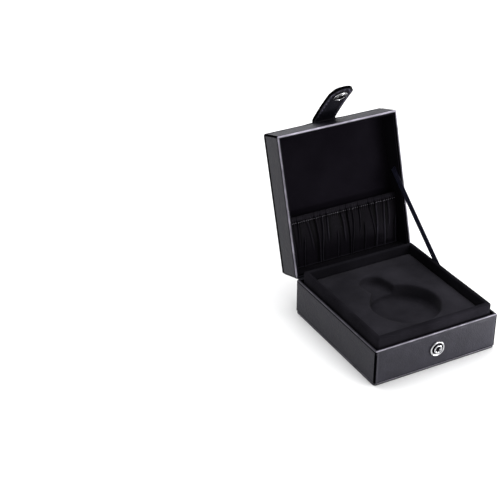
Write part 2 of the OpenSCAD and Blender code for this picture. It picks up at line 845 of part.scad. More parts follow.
bottom_cover();
base_front_board();
base_back_board();
base_left_board();
base_right_board();
base_floor_board();
base_wrap();
collar_front();
collar_back();
collar_left();
collar_right();
pad_foam();
pad_velvet();
snap_stud_ring();
snap_stud_post();
snap_stud_washer();
stay_ribbon();
spine_lower();
spine_upper();
lid_front_board();
lid_back_board();
lid_left_board();
lid_right_board();
lid_top_board();
lid_wrap();
lining_front();
lining_back();
lining_left();
lining_right();
lining_panel();
pocket_cloth();
pocket_elastic();
pocket_thread();
cushion_mount();
cushion_backing();
cushion_foam();
cushion_cover();
cushion_stitching();
strap_tongue();
strap_outer();
strap_lining();
strap_stitching();
snap_cap();
snap_rivet();
snap_socket();
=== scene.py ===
import json
import math
import random

import bpy
from mathutils import Matrix, Vector, noise


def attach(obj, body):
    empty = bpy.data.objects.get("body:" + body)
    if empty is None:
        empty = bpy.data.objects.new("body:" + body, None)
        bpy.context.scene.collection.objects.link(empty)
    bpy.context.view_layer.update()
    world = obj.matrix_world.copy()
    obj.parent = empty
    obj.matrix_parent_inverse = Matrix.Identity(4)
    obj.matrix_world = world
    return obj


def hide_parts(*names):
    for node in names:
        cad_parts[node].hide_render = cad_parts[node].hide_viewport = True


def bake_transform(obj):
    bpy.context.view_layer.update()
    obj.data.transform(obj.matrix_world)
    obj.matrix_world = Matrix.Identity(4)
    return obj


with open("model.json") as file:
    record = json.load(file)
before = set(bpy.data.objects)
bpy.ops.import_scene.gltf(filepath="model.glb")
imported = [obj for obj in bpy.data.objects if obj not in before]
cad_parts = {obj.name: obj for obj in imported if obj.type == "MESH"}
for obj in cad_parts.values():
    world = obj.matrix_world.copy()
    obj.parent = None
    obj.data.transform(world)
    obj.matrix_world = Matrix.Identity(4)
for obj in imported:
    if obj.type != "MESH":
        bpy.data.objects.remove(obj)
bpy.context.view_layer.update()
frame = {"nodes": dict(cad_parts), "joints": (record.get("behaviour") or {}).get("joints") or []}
mm = 0.001  # pieces are modelled in millimetres and placed in metres
touch = 0.01  # places nearer to each other than this count as one

hinge, strapFold = frame["joints"]
openDeg = hinge["range_deg"][1]  # from shut to the open stop, where the box is drawn
springDeg = strapFold["range_deg"][1]  # from the snapped strap to the strap at rest
lidPlace = Matrix.Translation(hinge["pos_m"]) @ Matrix.Rotation(-math.radians(openDeg), 4, "X")
strapPlace = (Matrix.Translation(strapFold["pos_m"])
              @ Matrix.Rotation(-math.radians(openDeg + springDeg), 4, "X"))
basePlace = Matrix.Identity(4)


def boxIn(node, place):  # a CAD node's corners in a piece's own frame, in millimetres
    points = [place.inverted() @ v.co / mm for v in frame["nodes"][node].data.vertices]
    return (Vector([min(p[i] for p in points) for i in range(3)]),
            Vector([max(p[i] for p in points) for i in range(3)]))


coverLow, coverHigh = boxIn("bottom_cover", basePlace)
caseW = coverHigh.x - coverLow.x
caseD = coverHigh.y - coverLow.y
coverT = coverHigh.z
lidRim, lidTop = (corner.z for corner in boxIn("lid_wrap", lidPlace))
baseRim = boxIn("base_wrap", basePlace)[1].z


def fromWalls(p):  # how far a point lies inside the case's sides, and inside its front or back
    return caseW / 2 - abs(p.x), caseD / 2 - abs(p.y)


def activate(obj):
    for other in bpy.context.selected_objects:
        other.select_set(False)
    obj.select_set(True)
    bpy.context.view_layer.objects.active = obj


def pick(obj, kind, test):  # goes into edit mode with what passes the test selected
    activate(obj)
    bpy.ops.object.mode_set(mode="EDIT")
    bpy.ops.mesh.select_mode(type=kind)
    bpy.ops.mesh.select_all(action="DESELECT")
    bpy.ops.object.mode_set(mode="OBJECT")
    mesh = obj.data
    if kind == "FACE":
        for face in mesh.polygons:
            face.select = test(face.center, face.normal)
    elif kind == "EDGE":
        for edge in mesh.edges:
            edge.select = test(*(mesh.vertices[i].co for i in edge.vertices))
    else:
        for vertex in mesh.vertices:
            vertex.select = test(vertex.co)
    bpy.ops.object.mode_set(mode="EDIT")


def pickAll(obj):
    pick(obj, "FACE", lambda centre, normal: True)


def leaveEdit():
    bpy.ops.object.mode_set(mode="OBJECT")


def cleanUp(obj):
    pickAll(obj)
    bpy.ops.mesh.remove_doubles(threshold=0.001)
    bpy.ops.mesh.normals_make_consistent(inside=False)
    leaveEdit()


def settle(obj, name, **place):  # names a new primitive and applies its scale or turn
    obj.name = name
    for key, value in place.items():
        setattr(obj, key, value)
    activate(obj)
    bpy.ops.object.transform_apply(location=True, rotation=True, scale=True)
    return obj


def newCube(name, low, high):
    low, high = Vector(low), Vector(high)
    bpy.ops.mesh.primitive_cube_add(size=1, location=(low + high) / 2)
    return settle(bpy.context.object, name, scale=high - low)


def newGrid(name, width, depth, across, along):
    bpy.ops.mesh.primitive_grid_add(x_subdivisions=across, y_subdivisions=along, size=1)
    return settle(bpy.context.object, name, scale=(width, depth, 1))


def addModifier(obj, kind, **settings):
    activate(obj)
    modifier = obj.modifiers.new(kind.title(), kind)
    for key, value in settings.items():
        setattr(modifier, key, value)
    bpy.ops.object.modifier_apply(modifier=modifier.name)


def bevelEdges(obj, test, radius, segments):
    pick(obj, "EDGE", test)
    bpy.ops.mesh.bevel(offset=radius, segments=segments, profile=0.5, affect="EDGES")
    leaveEdit()


def cutAcross(obj, axis, places):
    normal = Vector((0, 0, 0))
    normal[axis] = 1
    for place in places:
        pickAll(obj)
        bpy.ops.mesh.bisect(plane_co=normal * place, plane_no=normal)
        leaveEdit()


def spread(low, high, count):  # evenly spaced places strictly between two ends
    return [low + (high - low) * (i + 1) / (count + 1) for i in range(count)]


def boxRing(name, width, depth, low, high, wall):
    ring = newCube(name, (-width / 2, -depth / 2, low), (width / 2, depth / 2, high))
    pick(ring, "FACE", lambda c, n: abs(n.z) > 0.9)
    bpy.ops.mesh.inset(thickness=wall)
    bpy.ops.mesh.delete(type="FACE")
    leaveEdit()
    inX, inY = width / 2 - wall + touch, depth / 2 - wall + touch
    pick(ring, "EDGE", lambda a, b: all(abs(p.x) < inX and abs(p.y) < inY for p in (a, b)))
    bpy.ops.mesh.bridge_edge_loops()
    leaveEdit()
    cleanUp(ring)
    return ring


def spinProfile(name, profile, steps):  # profile is a list of (radius, height)
    mesh = bpy.data.meshes.new(name)
    mesh.from_pydata([(r, 0, z) for r, z in profile], [(i, i + 1) for i in range(len(profile) - 1)], [])
    part = bpy.data.objects.new(name, mesh)
    bpy.context.scene.collection.objects.link(part)
    pick(part, "VERT", lambda p: True)
    bpy.ops.mesh.spin(steps=steps, angle=math.tau, center=(0, 0, 0), axis=(0, 0, 1))
    leaveEdit()
    cleanUp(part)
    return part


def arc(centreR, centreZ, radius, startDeg, endDeg, count):
    angles = [math.radians(startDeg + (endDeg - startDeg) * i / count) for i in range(count + 1)]
    return [(centreR + radius * math.cos(a), centreZ + radius * math.sin(a)) for a in angles]


def copyOf(part, matrix):
    copy = part.copy()
    copy.data = part.data.copy()
    bpy.context.scene.collection.objects.link(copy)
    copy.data.transform(matrix)
    return copy


def smooth(x, low=0.0, high=1.0):
    t = max(0.0, min(1.0, (x - low) / (high - low)))
    return t * t * (3 - 2 * t)


def uneven(obj, depth, size, test=lambda p: 1.0):  # a soft unevenness of a hand-glued skin
    obj.data.update()
    normals = [v.normal.copy() for v in obj.data.vertices]
    for vertex, normal in zip(obj.data.vertices, normals):
        vertex.co += normal * depth * noise.noise(vertex.co / size) * test(vertex.co)


def writeShade(obj, shade):  # -1 for painted shade in creases and gaps, 1 for painted highlights and lighter lines
    layer = obj.data.attributes.new("shade", "FLOAT", "POINT")
    layer.data.foreach_set("value", [shade(v.co) for v in obj.data.vertices])


def nameUv(obj, place=None):  # names a grid's UV map for the cloth materials, and lays it by its points
    layer = obj.data.uv_layers.active
    layer.name = "UVMap"
    if place:
        for loop, corner in zip(obj.data.loops, layer.data):
            corner.uv = place(obj.data.vertices[loop.vertex_index].co)


def makeStitch(long, thick):  # a short run of thread that dips at both ends, along X
    bpy.ops.mesh.primitive_uv_sphere_add(segments=8, ring_count=6, radius=0.5)
    stitch = settle(bpy.context.object, "stitch", rotation_euler=(0, math.pi / 2, 0))
    for vertex in stitch.data.vertices:
        x, y, z = vertex.co
        reach = math.copysign(min(1.0, abs(2 * x) ** 0.6), x)
        vertex.co = Vector((reach * long / 2, y * thick, z * thick - 0.1 * (2 * x) ** 4))
    return stitch


def sewStitches(name, long, thick, places):  # one piece with a stitch at each place
    stitch = makeStitch(long, thick)
    sewn = [copyOf(stitch, place) for place in places]
    bpy.data.objects.remove(stitch)
    activate(sewn[0])
    for part in sewn:
        part.select_set(True)
    bpy.ops.object.join()
    sewn[0].name = name
    return sewn[0]


def finishPiece(obj, body, place, material, slot, *nodes, angle=40):
    activate(obj)
    bpy.ops.object.shade_smooth_by_angle(angle=math.radians(angle))
    obj.data.transform(place @ Matrix.Scale(mm, 4))
    obj.data.materials.clear()
    obj.data.materials.append(material)
    if body:
        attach(obj, body)
    if nodes:
        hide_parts(*nodes)


def secondFinish(piece, place, material, test):  # gives the faces that pass the test a finish of their own
    piece.data.materials.append(material)
    for face in piece.data.polygons:
        if test(place.inverted() @ face.center / mm):
            face.material_index = 1


class Shader:  # a material with a Principled shader and short calls to wire nodes
    def __init__(self, name, colour, roughness, **values):
        self.material = bpy.data.materials.new(name)
        self.material.use_nodes = True
        self.nodes = self.material.node_tree.nodes
        self.links = self.material.node_tree.links
        self.shader = self.nodes["Principled BSDF"]
        self.shader.inputs["Base Color"].default_value = (*colour, 1)
        self.shader.inputs["Roughness"].default_value = roughness
        for key, value in values.items():
            self.shader.inputs[key.replace("_", " ")].default_value = value
        self.coords = self.nodes.new("ShaderNodeTexCoord").outputs["Object"]

    def node(self, kind, **settings):
        made = self.nodes.new("ShaderNode" + kind)
        for key, value in settings.items():
            if hasattr(made, key):
                setattr(made, key, value)
            else:
                made.inputs[key.replace("_", " ")].default_value = value
        return made

    def wire(self, value, socket):  # value is a node's output, a number or a colour
        if isinstance(value, tuple):
            socket.default_value = (*value, 1)
        elif isinstance(value, float):
            socket.default_value = value
        else:
            self.links.new(value, socket)

    def noise(self, scale, detail=2.0, roughness=0.5):
        made = self.node("TexNoise", Scale=scale, Detail=detail, Roughness=roughness)
        self.wire(self.coords, made.inputs["Vector"])
        return made.outputs["Fac"]

    def cells(self, scale):
        made = self.node("TexVoronoi", feature="SMOOTH_F1", Scale=scale)
        self.wire(self.coords, made.inputs["Vector"])
        return made.outputs["Distance"]

    def bands(self, direction, scale, distortion, coords):
        made = self.node("TexWave", wave_type="BANDS", bands_direction=direction, Scale=scale,
                         Distortion=distortion)
        self.wire(coords, made.inputs["Vector"])
        return made.outputs["Fac"]

    def uv(self):
        return self.node("UVMap", uv_map="UVMap").outputs["UV"]

    def attribute(self, name):
        return self.node("Attribute", attribute_name=name).outputs["Fac"]

    def span(self, value, fromLow, fromHigh, toLow=0.0, toHigh=1.0):
        made = self.node("MapRange", From_Min=fromLow, From_Max=fromHigh, To_Min=toLow, To_Max=toHigh)
        self.wire(value, made.inputs["Value"])
        return made.outputs["Result"]

    def sum(self, first, second, operation="ADD"):
        made = self.node("Math", operation=operation)
        self.wire(first, made.inputs[0])
        self.wire(second, made.inputs[1])
        return made.outputs["Value"]

    def mix(self, factor, first, second):
        made = self.node("Mix", data_type="RGBA")
        self.wire(factor, made.inputs["Factor"])
        self.wire(first, made.inputs[6])  # sockets 6 and 7 and output 2 are the node's colours
        self.wire(second, made.inputs[7])
        return made.outputs[2]

    def colour(self, output):
        self.wire(output, self.shader.inputs["Base Color"])

    def rough(self, output):
        self.wire(output, self.shader.inputs["Roughness"])

    def bump(self, height, distance, strength=1.0, after=None):
        made = self.node("Bump", Strength=strength, Distance=distance)
        self.wire(height, made.inputs["Height"])
        if after:
            self.wire(after, made.inputs["Normal"])
        self.wire(made.outputs["Normal"], self.shader.inputs["Normal"])
        return made.outputs["Normal"]


def scaled(colour, factor):
    return tuple(c * factor for c in colour)


leatherLook = {
    "colour": (0.0148, 0.0141, 0.0192),
    "deep": (0.0010, 0.0010, 0.0014),  # painted shade, in creases and gaps
    "paintedLight": (0.50, 0.47, 0.56),  # painted highlight, where the shade attribute is 1
    "mottle": 1.5,  # how much lighter its lighter patches are
    "pebbles": 1100.0,  # grains to the metre
    "pebbleDepth": 0.0002,
    "pebbleScale": 1.0,
    "wrinkles": 160.0,
    "wrinkleDepth": 0.0003,
    "specular": 0.14,
    "rough": (0.42, 0.58),
}


def leatherette(name, **changes):
    look = {**leatherLook, **changes}
    skin = Shader(name, look["colour"], look["rough"][0], Specular_IOR_Level=look["specular"])
    pebbles = skin.cells(look["pebbles"] * look["pebbleScale"])
    fine = skin.noise(look["pebbles"] * 2.3, 3.0, 0.6)
    wrinkles = skin.noise(look["wrinkles"], 5.0, 0.65)
    tone = skin.mix(skin.span(wrinkles, 0.3, 0.7), look["colour"], scaled(look["colour"], look["mottle"]))
    # the shade attribute paints light and shade: towards 1 the painted highlight colour, towards -1 the
    # painted shade colour
    shade = skin.attribute("shade")
    light = skin.mix(skin.span(shade, 0.0, 1.0), tone, look["paintedLight"])
    skin.colour(skin.mix(skin.span(shade, 0.0, -1.0), light, look["deep"]))
    skin.rough(skin.span(skin.sum(fine, wrinkles), 0.7, 1.3, *look["rough"]))
    creased = skin.bump(wrinkles, look["wrinkleDepth"], 0.5)
    grain = skin.sum(pebbles, skin.sum(fine, 0.4, "MULTIPLY"))
    skin.bump(grain, look["pebbleDepth"] / look["pebbleScale"], 0.8, creased)
    return skin.material


velvetLook = {"nap": 26.0, "fibre": 2600.0, "fibreDepth": 0.0002}  # brushed patches and fibres to the metre


def velvet(name, look, colour, brushed, sheen):
    pile = Shader(name, colour, 1.0, Specular_IOR_Level=0.0, Sheen_Weight=sheen, Sheen_Roughness=0.45)
    nap = pile.noise(look["nap"], 3.0, 0.55)
    fibre = pile.noise(look["fibre"], 2.0, 0.7)
    patches = pile.sum(nap, pile.sum(fibre, 0.5, "MULTIPLY"))
    pile.colour(pile.mix(pile.span(patches, 0.6, 0.95), colour, brushed))
    pile.bump(fibre, look["fibreDepth"], 0.5)
    return pile.material


def metal(name, colour, roughness):
    plate = Shader(name, colour, roughness, Metallic=1.0)
    marks = plate.noise(900.0, 3.0, 0.6)
    plate.rough(plate.span(marks, 0.3, 0.7, roughness * 0.7, roughness * 1.6))
    plate.colour(plate.mix(plate.span(plate.noise(300.0), 0.35, 0.65), colour, scaled(colour, 0.86)))
    plate.bump(marks, 0.00002, 0.3)
    return plate.material


def enamel(name, colour):
    paint = Shader(name, colour, 0.2, Specular_IOR_Level=0.05, Coat_Weight=0.04, Coat_Roughness=0.03)
    peel = paint.noise(500.0, 2.0, 0.5)
    paint.rough(paint.span(peel, 0.3, 0.7, 0.15, 0.26))
    paint.bump(peel, 0.00004, 0.4)
    return paint.material


def cardboard(name, colour):
    card = Shader(name, colour, 0.9)
    fibres = card.noise(700.0, 6.0, 0.7)
    card.colour(card.mix(fibres, scaled(colour, 0.7), colour))
    card.bump(fibres, 0.0001, 0.5)
    return card.material


def wovenCloth(name, colour, light, roughness, threads, specular):  # threads across and along the UV map
    cloth = Shader(name, colour, roughness, Specular_IOR_Level=specular, Sheen_Weight=0.1,
                   Sheen_Roughness=0.3)
    uv = cloth.uv()
    across, along = threads
    height = cloth.sum(cloth.bands("X", across, 0.4, uv), cloth.bands("Y", along, 0.4, uv), "MULTIPLY")
    slubs = cloth.noise(220.0, 3.0, 0.6)
    cloth.colour(cloth.mix(cloth.span(cloth.sum(height, slubs), 0.4, 1.4), colour, light))
    cloth.rough(cloth.span(slubs, 0.3, 0.7, roughness * 0.85, min(1.0, roughness * 1.25)))
    cloth.bump(height, 0.00005, 0.6)
    return cloth.material


def gatheredSatin(name, colour, ridge, valleyShade):  # painted sheen on the ridges of its folds, painted shade beside them
    cloth = Shader(name, colour, 0.6, Specular_IOR_Level=0.03)
    slubs = cloth.noise(700.0, 3.0, 0.6)
    fold = cloth.attribute("fold")
    light = cloth.mix(cloth.span(slubs, 0.3, 0.7), scaled(ridge, 0.7), ridge)
    lit = cloth.mix(cloth.span(fold, 0.0, 1.0), colour, light)
    cloth.colour(cloth.mix(cloth.span(fold, 0.0, -1.0), lit, valleyShade))
    cloth.rough(cloth.span(slubs, 0.3, 0.7, 0.5, 0.7))
    cloth.bump(cloth.bands("Y", 260.0, 0.4, cloth.uv()), 0.00004, 0.5)
    return cloth.material


def sewingThread(name, colour):
    thread = Shader(name, colour, 0.6, Specular_IOR_Level=0.08)
    twist = thread.bands("DIAGONAL", 900.0, 0.3, thread.coords)
    thread.colour(thread.mix(twist, scaled(colour, 0.5), colour))
    thread.bump(twist, 0.0001, 0.7)
    return thread.material


wallLeather = leatherette("wall_leatherette")
# a lighter warm grey than the walls' leather, standing for the sheen the padded top reflects: painted sheen
topLeather = leatherette("padded_top_leatherette", colour=(0.068, 0.0612, 0.0552), mottle=1.4,
                         pebbleScale=0.8, specular=0.35, rough=(0.42, 0.56))
borderLeather = leatherette("border_leatherette", colour=(0.0090, 0.0086, 0.0094), pebbleScale=0.8,
                            specular=0.05, rough=(0.6, 0.75))
strapLeather = leatherette("strap_leatherette", colour=(0.0052, 0.0050, 0.0072), pebbleScale=1.3,
                           specular=0.07)
# near black lines that stand for shade in creases, gaps and at the foot (painted shade), and for the strap's
# painted edges
shadeAndEdgeBlack = leatherette("painted_shade_and_edge_black", colour=(0.0009, 0.0009, 0.0012), specular=0.0,
                           rough=(0.8, 0.95))
edgePaint = leatherette("edge_paint", colour=(0.006, 0.006, 0.007), pebbleScale=1.6, specular=0.10)
padVelvet = velvet("pad_velvet", velvetLook, (0.0112, 0.0106, 0.0134), (0.0250, 0.0236, 0.0292), 0.02)
# the collar's and the lining's velvet are darker copies of the pad's: painted shade
collarVelvet = velvet("collar_velvet", velvetLook, (0.0056, 0.0052, 0.0068), (0.0125, 0.0117, 0.0150), 0.01)
liningVelvet = velvet("lining_velvet", velvetLook, (0.0038, 0.0032, 0.0048), (0.0058, 0.0050, 0.0072), 0.01)
nickel = metal("nickel_plate", (0.62, 0.62, 0.64), 0.16)
# a near black metal for the snap's grooves and hollows: painted shade
recessShadeMetal = metal("painted_shade_metal", (0.006, 0.006, 0.007), 0.5)
capEnamel = enamel("cap_enamel", (0.003, 0.003, 0.0035))
greyCard = cardboard("grey_card", (0.50, 0.47, 0.42))
# its ridge colour is painted sheen, its valley colour painted shade
pocketSatin = gatheredSatin("pocket_satin", (0.0048, 0.0040, 0.0060), (0.027, 0.025, 0.033),
                            (0.0008, 0.0007, 0.0010))
ribbonSatin = wovenCloth("ribbon_satin", (0.010, 0.010, 0.022), (0.026, 0.026, 0.052), 0.38,
                         (40.0, 700.0), 0.25)
elasticWeave = wovenCloth("elastic_weave", (0.012, 0.012, 0.012), (0.03, 0.03, 0.03), 0.7,
                          (60.0, 400.0), 0.2)
blackThread = sewingThread("black_thread", (0.0022, 0.0022, 0.0026))
greyThread = sewingThread("grey_thread", (0.100, 0.094, 0.140))
dotThread = sewingThread("gathering_thread", (0.190, 0.180, 0.210))

boards = {"base": ("front", "back", "left", "right", "floor"),
          "lid": ("front", "back", "left", "right", "top")}
keptNodes = {  # CAD nodes that show as they are
    greyCard: [part + "_" + side + "_board" for part, sides in boards.items() for side in sides],
    liningVelvet: ["lining_front", "lining_back", "lining_left", "lining_right"],
    nickel: ["snap_stud_washer", "snap_rivet"],
    edgePaint: ["cushion_mount"],
}
for material, names in keptNodes.items():
    for name in names:
        kept = frame["nodes"][name]
        kept.data.materials.clear()
        kept.data.materials.append(material)
print("materials made")

# the photograph's own view of the open box
view = {
    "azimuth": -28.03, "elevation": 29.87, "target": (-116.05, 0.0, 96.86), "distance": 826.56,
    "lens": 92.57, "sensor": 36.0, "nearest": 0.01,
}


def makeCamera(look):
    azimuth, elevation = math.radians(look["azimuth"]), math.radians(look["elevation"])
    back = Vector((math.sin(azimuth) * math.cos(elevation), -math.cos(azimuth) * math.cos(elevation),
                   math.sin(elevation)))
    camera = bpy.data.objects.new("camera", bpy.data.cameras.new("camera"))
    bpy.context.scene.collection.objects.link(camera)
    camera.data.lens = look["lens"]
    camera.data.sensor_width = look["sensor"]
    camera.data.clip_start = look["nearest"]
    camera.location = (Vector(look["target"]) + back * look["distance"]) * mm
    camera.rotation_euler = (-back).to_track_quat("-Z", "Y").to_euler()
    bpy.context.scene.camera = camera


makeCamera(view)

studio = {
    "sky": ((0.98, 0.985, 1.0), 0.43),
    "floor": ((0.92, 0.92, 0.92), (0.94, 0.94, 0.94), 14.0),  # its two tones and its size in metres
    "sun": {"from": (0.22, 0.3, 1.0), "strength": 2.2, "spread": 60.0},
    "lamps": [  # name, place, target, size, watts
        ("back_softbox", (-0.364, 1.04, 0.689), (0.0, 0.0, 0.05), (2.4, 0.9), 13.0),
        ("low_card", (0.17, -0.17, 0.016), (0.045, -0.052, 0.014), (0.11, 0.03), 0.6),
        ("front_softbox", (0.55, -1.0, 0.55), (0.0, 0.0, 0.05), (0.9, 0.5), 8.2),
    ],
}


def makeStudio(look):
    world = bpy.data.worlds.new("studio")
    bpy.context.scene.world = world
    world.use_nodes = True
    sky = world.node_tree.nodes["Background"]
    skyColour, skyStrength = look["sky"]
    sky.inputs["Color"].default_value = (*skyColour, 1)
    sky.inputs["Strength"].default_value = skyStrength
    overhead = bpy.data.objects.new("overhead", bpy.data.lights.new("overhead", "SUN"))
    bpy.context.scene.collection.objects.link(overhead)
    overhead.data.energy = look["sun"]["strength"]
    overhead.data.angle = math.radians(look["sun"]["spread"])
    overhead.rotation_euler = (-Vector(look["sun"]["from"])).to_track_quat("-Z", "Y").to_euler()
    for name, place, target, size, watts in look["lamps"]:
        lamp = bpy.data.objects.new(name, bpy.data.lights.new(name, "AREA"))
        bpy.context.scene.collection.objects.link(lamp)
        lamp.data.shape = "RECTANGLE"
        lamp.data.size, lamp.data.size_y = size
        lamp.data.energy = watts
        lamp.visible_camera = False
        lamp.location = place
        lamp.rotation_euler = (Vector(target) - Vector(place)).to_track_quat("-Z", "Y").to_euler()
    darker, lighter, floorSize = look["floor"]
    bpy.ops.mesh.primitive_plane_add(size=floorSize, location=(0, 0, 0))
    floor = bpy.context.object
    floor.name = "floor"
    paper = Shader("floor_paper", darker, 0.9, Specular_IOR_Level=0.0)
    paper.colour(paper.mix(paper.noise(3.0), darker, lighter))
    floor.data.materials.append(paper.material)
    bpy.context.scene.view_settings.view_transform = "Standard"


makeStudio(studio)
print("camera and studio made")

shellLook = {
    "wall": 2.4,  # the wall with its skin, as thick as the CAD's
    "rimRadius": 1.0,
    "footRadius": 0.5,
    "turnIn": 6.0,  # how far the skin goes down inside the wall
    "skin": 0.33,
    "outerFace": 0.7,  # how deep in the wall a point still lies on its outer face
    "groove": {"depth": 0.2, "reach": 0.9, "half": 0.45},  # the pressed line down each upright corner
    "crease": {"depth": 0.12, "below": 1.7, "wide": 0.35, "reach": 0.05},  # a fine one under the rim
    "cornerCuts": (1.3, 1.6, 2.1, 3.2),  # from the corner's edge
    "rimCuts": (1.15, 1.5, 1.9, 2.4, 3.0),  # below the rim's top
    "footCuts": (0.85, 1.3),  # above the foot
    "cells": 4.0,
    "uneven": (0.12, 16.0),  # depth and size
    "grooveEnds": ((0.5, 2.0), (0.8, 2.2)),  # above the foot and below the rim, where the groove dies away
    "evenEdges": ((1.5, 8.0), (0.5, 4.0), (1.0, 4.0)),  # from corner, foot and rim, where the skin is even
    "patchSize": 2.2,
    "turned": 1.2,  # how dark the painted shade is where the skin is turned in
    "turnedIn": ((1.55, 1.95), (1.4, 1.9), (0.4, 1.2)),  # where that painted shade lies: deep in the wall; or less deep, but below the rim
    "dash": ((1.6, 2.0), (2.9, 2.3)),  # where below the rim the broken light line starts and ends
    "dashLong": 3.1,
    "band": ((1.35, 1.7), (3.2, 2.0), (0.8, 2.0)),  # the painted highlight beside each corner: from the corner, its start and end; and its top
    "lines": (0.6, 1.8, 0.8),  # painted shade lines, black from here below the rim, this deep in the wall, this near the foot
}
baseRims = {
    "front": 0.6, "side": 0.20, "hinge": -0.7,  # painted highlight along the rim on each side; painted shade at the hinge
    "rim": (0.35, 0.65),  # how far that light goes down the face, and into the wall
    "dash": 0.03, "band": 0.03,  # the broken light line under the rim, and the painted highlight beside each corner
    "line": ((0.0, 0.0), (0.65, 1.5)),  # the painted shade line under the rim at the front and at the sides
    "tone": -0.06,  # painted shade on the side walls
}
# the lid takes a stronger painted highlight on its rim and more painted shade on its side walls
lidRims = {**baseRims, "front": 0.95, "side": 0.8, "rim": (0.5, 0.95), "dash": 0.12,
           "line": ((0.95, 1.9), (0.6, 1.5)), "tone": -0.24}


def leatherShell(name, high, look, rims, hingeSide):  # hingeSide is the sign of y where the hinge is
    shell = boxRing(name, caseW, caseD, 0.0, high, look["wall"])
    edgeX, edgeY = caseW / 2 - touch, caseD / 2 - touch
    inX, inY = edgeX - look["wall"] + 2 * touch, edgeY - look["wall"] + 2 * touch

    def outer(p):
        return abs(p.x) > edgeX or abs(p.y) > edgeY

    def corner(p, near=0.0):
        return abs(p.x) > edgeX - near and abs(p.y) > edgeY - near

    def inner(p):
        return abs(p.x) < inX and abs(p.y) < inY

    bevelEdges(shell, lambda a, b: corner(a) and corner(b)
               or outer(a) and outer(b) and min(a.z, b.z) > high - touch, look["rimRadius"], 6)
    bevelEdges(shell, lambda a, b: all(inner(p) and p.z > high - touch for p in (a, b)), look["rimRadius"], 5)
    bevelEdges(shell, lambda a, b: all(outer(p) or corner(p, look["rimRadius"]) for p in (a, b))
               and max(a.z, b.z) < touch, look["footRadius"], 3)
    reachX, reachY = caseW / 2 - look["cornerCuts"][-1], caseD / 2 - look["cornerCuts"][-1]
    cutAcross(shell, 0, spread(-reachX, reachX, int(caseW / look["cells"])))
    cutAcross(shell, 1, spread(-reachY, reachY, int(caseD / look["cells"])))
    for cut in look["cornerCuts"]:
        cutAcross(shell, 0, [cut - caseW / 2, caseW / 2 - cut])
        cutAcross(shell, 1, [cut - caseD / 2, caseD / 2 - cut])
    cutAcross(shell, 2, spread(look["footRadius"], high - look["rimCuts"][-1], int(high / look["cells"])))
    cutAcross(shell, 2, [high - cut for cut in (look["turnIn"], *look["rimCuts"])] + list(look["footCuts"]))
    pick(shell, "FACE", lambda c, n: inner(c) and c.z < high - look["turnIn"])
    bpy.ops.mesh.delete(type="FACE")
    leaveEdit()

    groove, crease = look["groove"], look["crease"]
    for vertex in shell.data.vertices:
        p = vertex.co
        near, far = sorted(fromWalls(p))
        if far < groove["reach"]:
            middle = 1 - min(1.0, (far - near) / groove["half"])
            foot, rim = look["grooveEnds"]
            hold = smooth(p.z, *foot) * smooth(high - p.z, *rim)
            push = groove["depth"] * middle * hold
            vertex.co.x -= math.copysign(push, p.x)
            vertex.co.y -= math.copysign(push, p.y)
        elif near < crease["reach"]:
            push = crease["depth"] * math.exp(-((high - crease["below"] - p.z) / crease["wide"]) ** 2)
            axis = 0 if fromWalls(p)[0] < crease["reach"] else 1
            vertex.co[axis] -= math.copysign(push, p[axis])
    corners, foot, rim = look["evenEdges"]
    uneven(shell, *look["uneven"],
           lambda p: smooth(max(fromWalls(p)), *corners) * smooth(p.z, *foot) * smooth(high - p.z, *rim))

    # painted light and shade: a highlight along the rim, shade at the hinge's rim, inside the wall and on the
    # side walls, a highlight beside each corner, and a broken lighter line under the rim
    def shade(p):
        fromSide, fromFront = fromWalls(p)
        near, far = sorted((fromSide, fromFront))
        onSide = fromSide < fromFront
        onFace = near < look["outerFace"]
        below = high - p.z
        patchy = 0.8 + 0.5 * noise.noise(p / look["patchSize"])
        light = rims["side"] if onSide else rims["hinge"] if p.y * hingeSide > 0 else rims["front"]
        down, into = rims["rim"]
        rim = light * smooth(below, down + 0.25, down) * patchy * smooth(near, into + 0.3, into)
        deep, lessDeep, underRim = look["turnedIn"]
        turned = look["turned"] * (smooth(near, *deep) + smooth(near, *lessDeep) * smooth(below, *underRim))
        start, end = look["dash"]
        dash = rims["dash"] * smooth(below, *start) * smooth(below, *end) * onFace
        dashAt = Vector((p.x + p.y * 1.7, p.y - p.x * 0.4, 0.6)) / look["dashLong"]
        dash *= smooth(noise.noise(dashAt), 0.0, 0.35)
        start, end, top = look["band"]
        band = rims["band"] * smooth(far, *start) * smooth(far, *end) * smooth(below, *top)
        tone = rims["tone"] if onSide else 0.0
        return max(-1.0, min(1.0, tone + rim + band * patchy + dash - turned))

    addModifier(shell, "SOLIDIFY", thickness=look["skin"], offset=-1)
    writeShade(shell, shade)
    return shell


def makeShell(name, body, node, high, place, look, rims, hingeSide):
    shell = leatherShell(name, high, look, rims, hingeSide)

    def pressed(p):  # painted shade: black lines at the upright corners, inside the rim, under it and at the foot
        fromSide, fromFront = fromWalls(p)
        near, far = sorted((fromSide, fromFront))
        below = high - p.z
        start, end = rims["line"][1 if fromSide < fromFront else 0]
        fromRim, deep, fromFoot = look["lines"]
        return (far < look["cornerCuts"][0] and below > fromRim or near > deep or p.z < fromFoot
                or near < look["outerFace"] and start < below < end)

    finishPiece(shell, body, place, wallLeather, "leatherette", node)
    # painted shade: these lines get the black material
    secondFinish(shell, place, shadeAndEdgeBlack, pressed)


basePress = Matrix.Translation((0, 0, coverT * mm))
lidHang = lidPlace @ Matrix.Translation((0, -caseD / 2 * mm, lidTop * mm)) @ Matrix.Rotation(math.pi, 4, "X")
makeShell("base_leather", "base", "base_wrap", baseRim - coverT, basePress, shellLook, baseRims, 1)
makeShell("lid_leather", "lid", "lid_wrap", lidTop - lidRim, lidHang, shellLook, lidRims, -1)
print("leather shells made")

coverLook = {"radius": 2.5, "edge": 0.55, "cuts": 12}


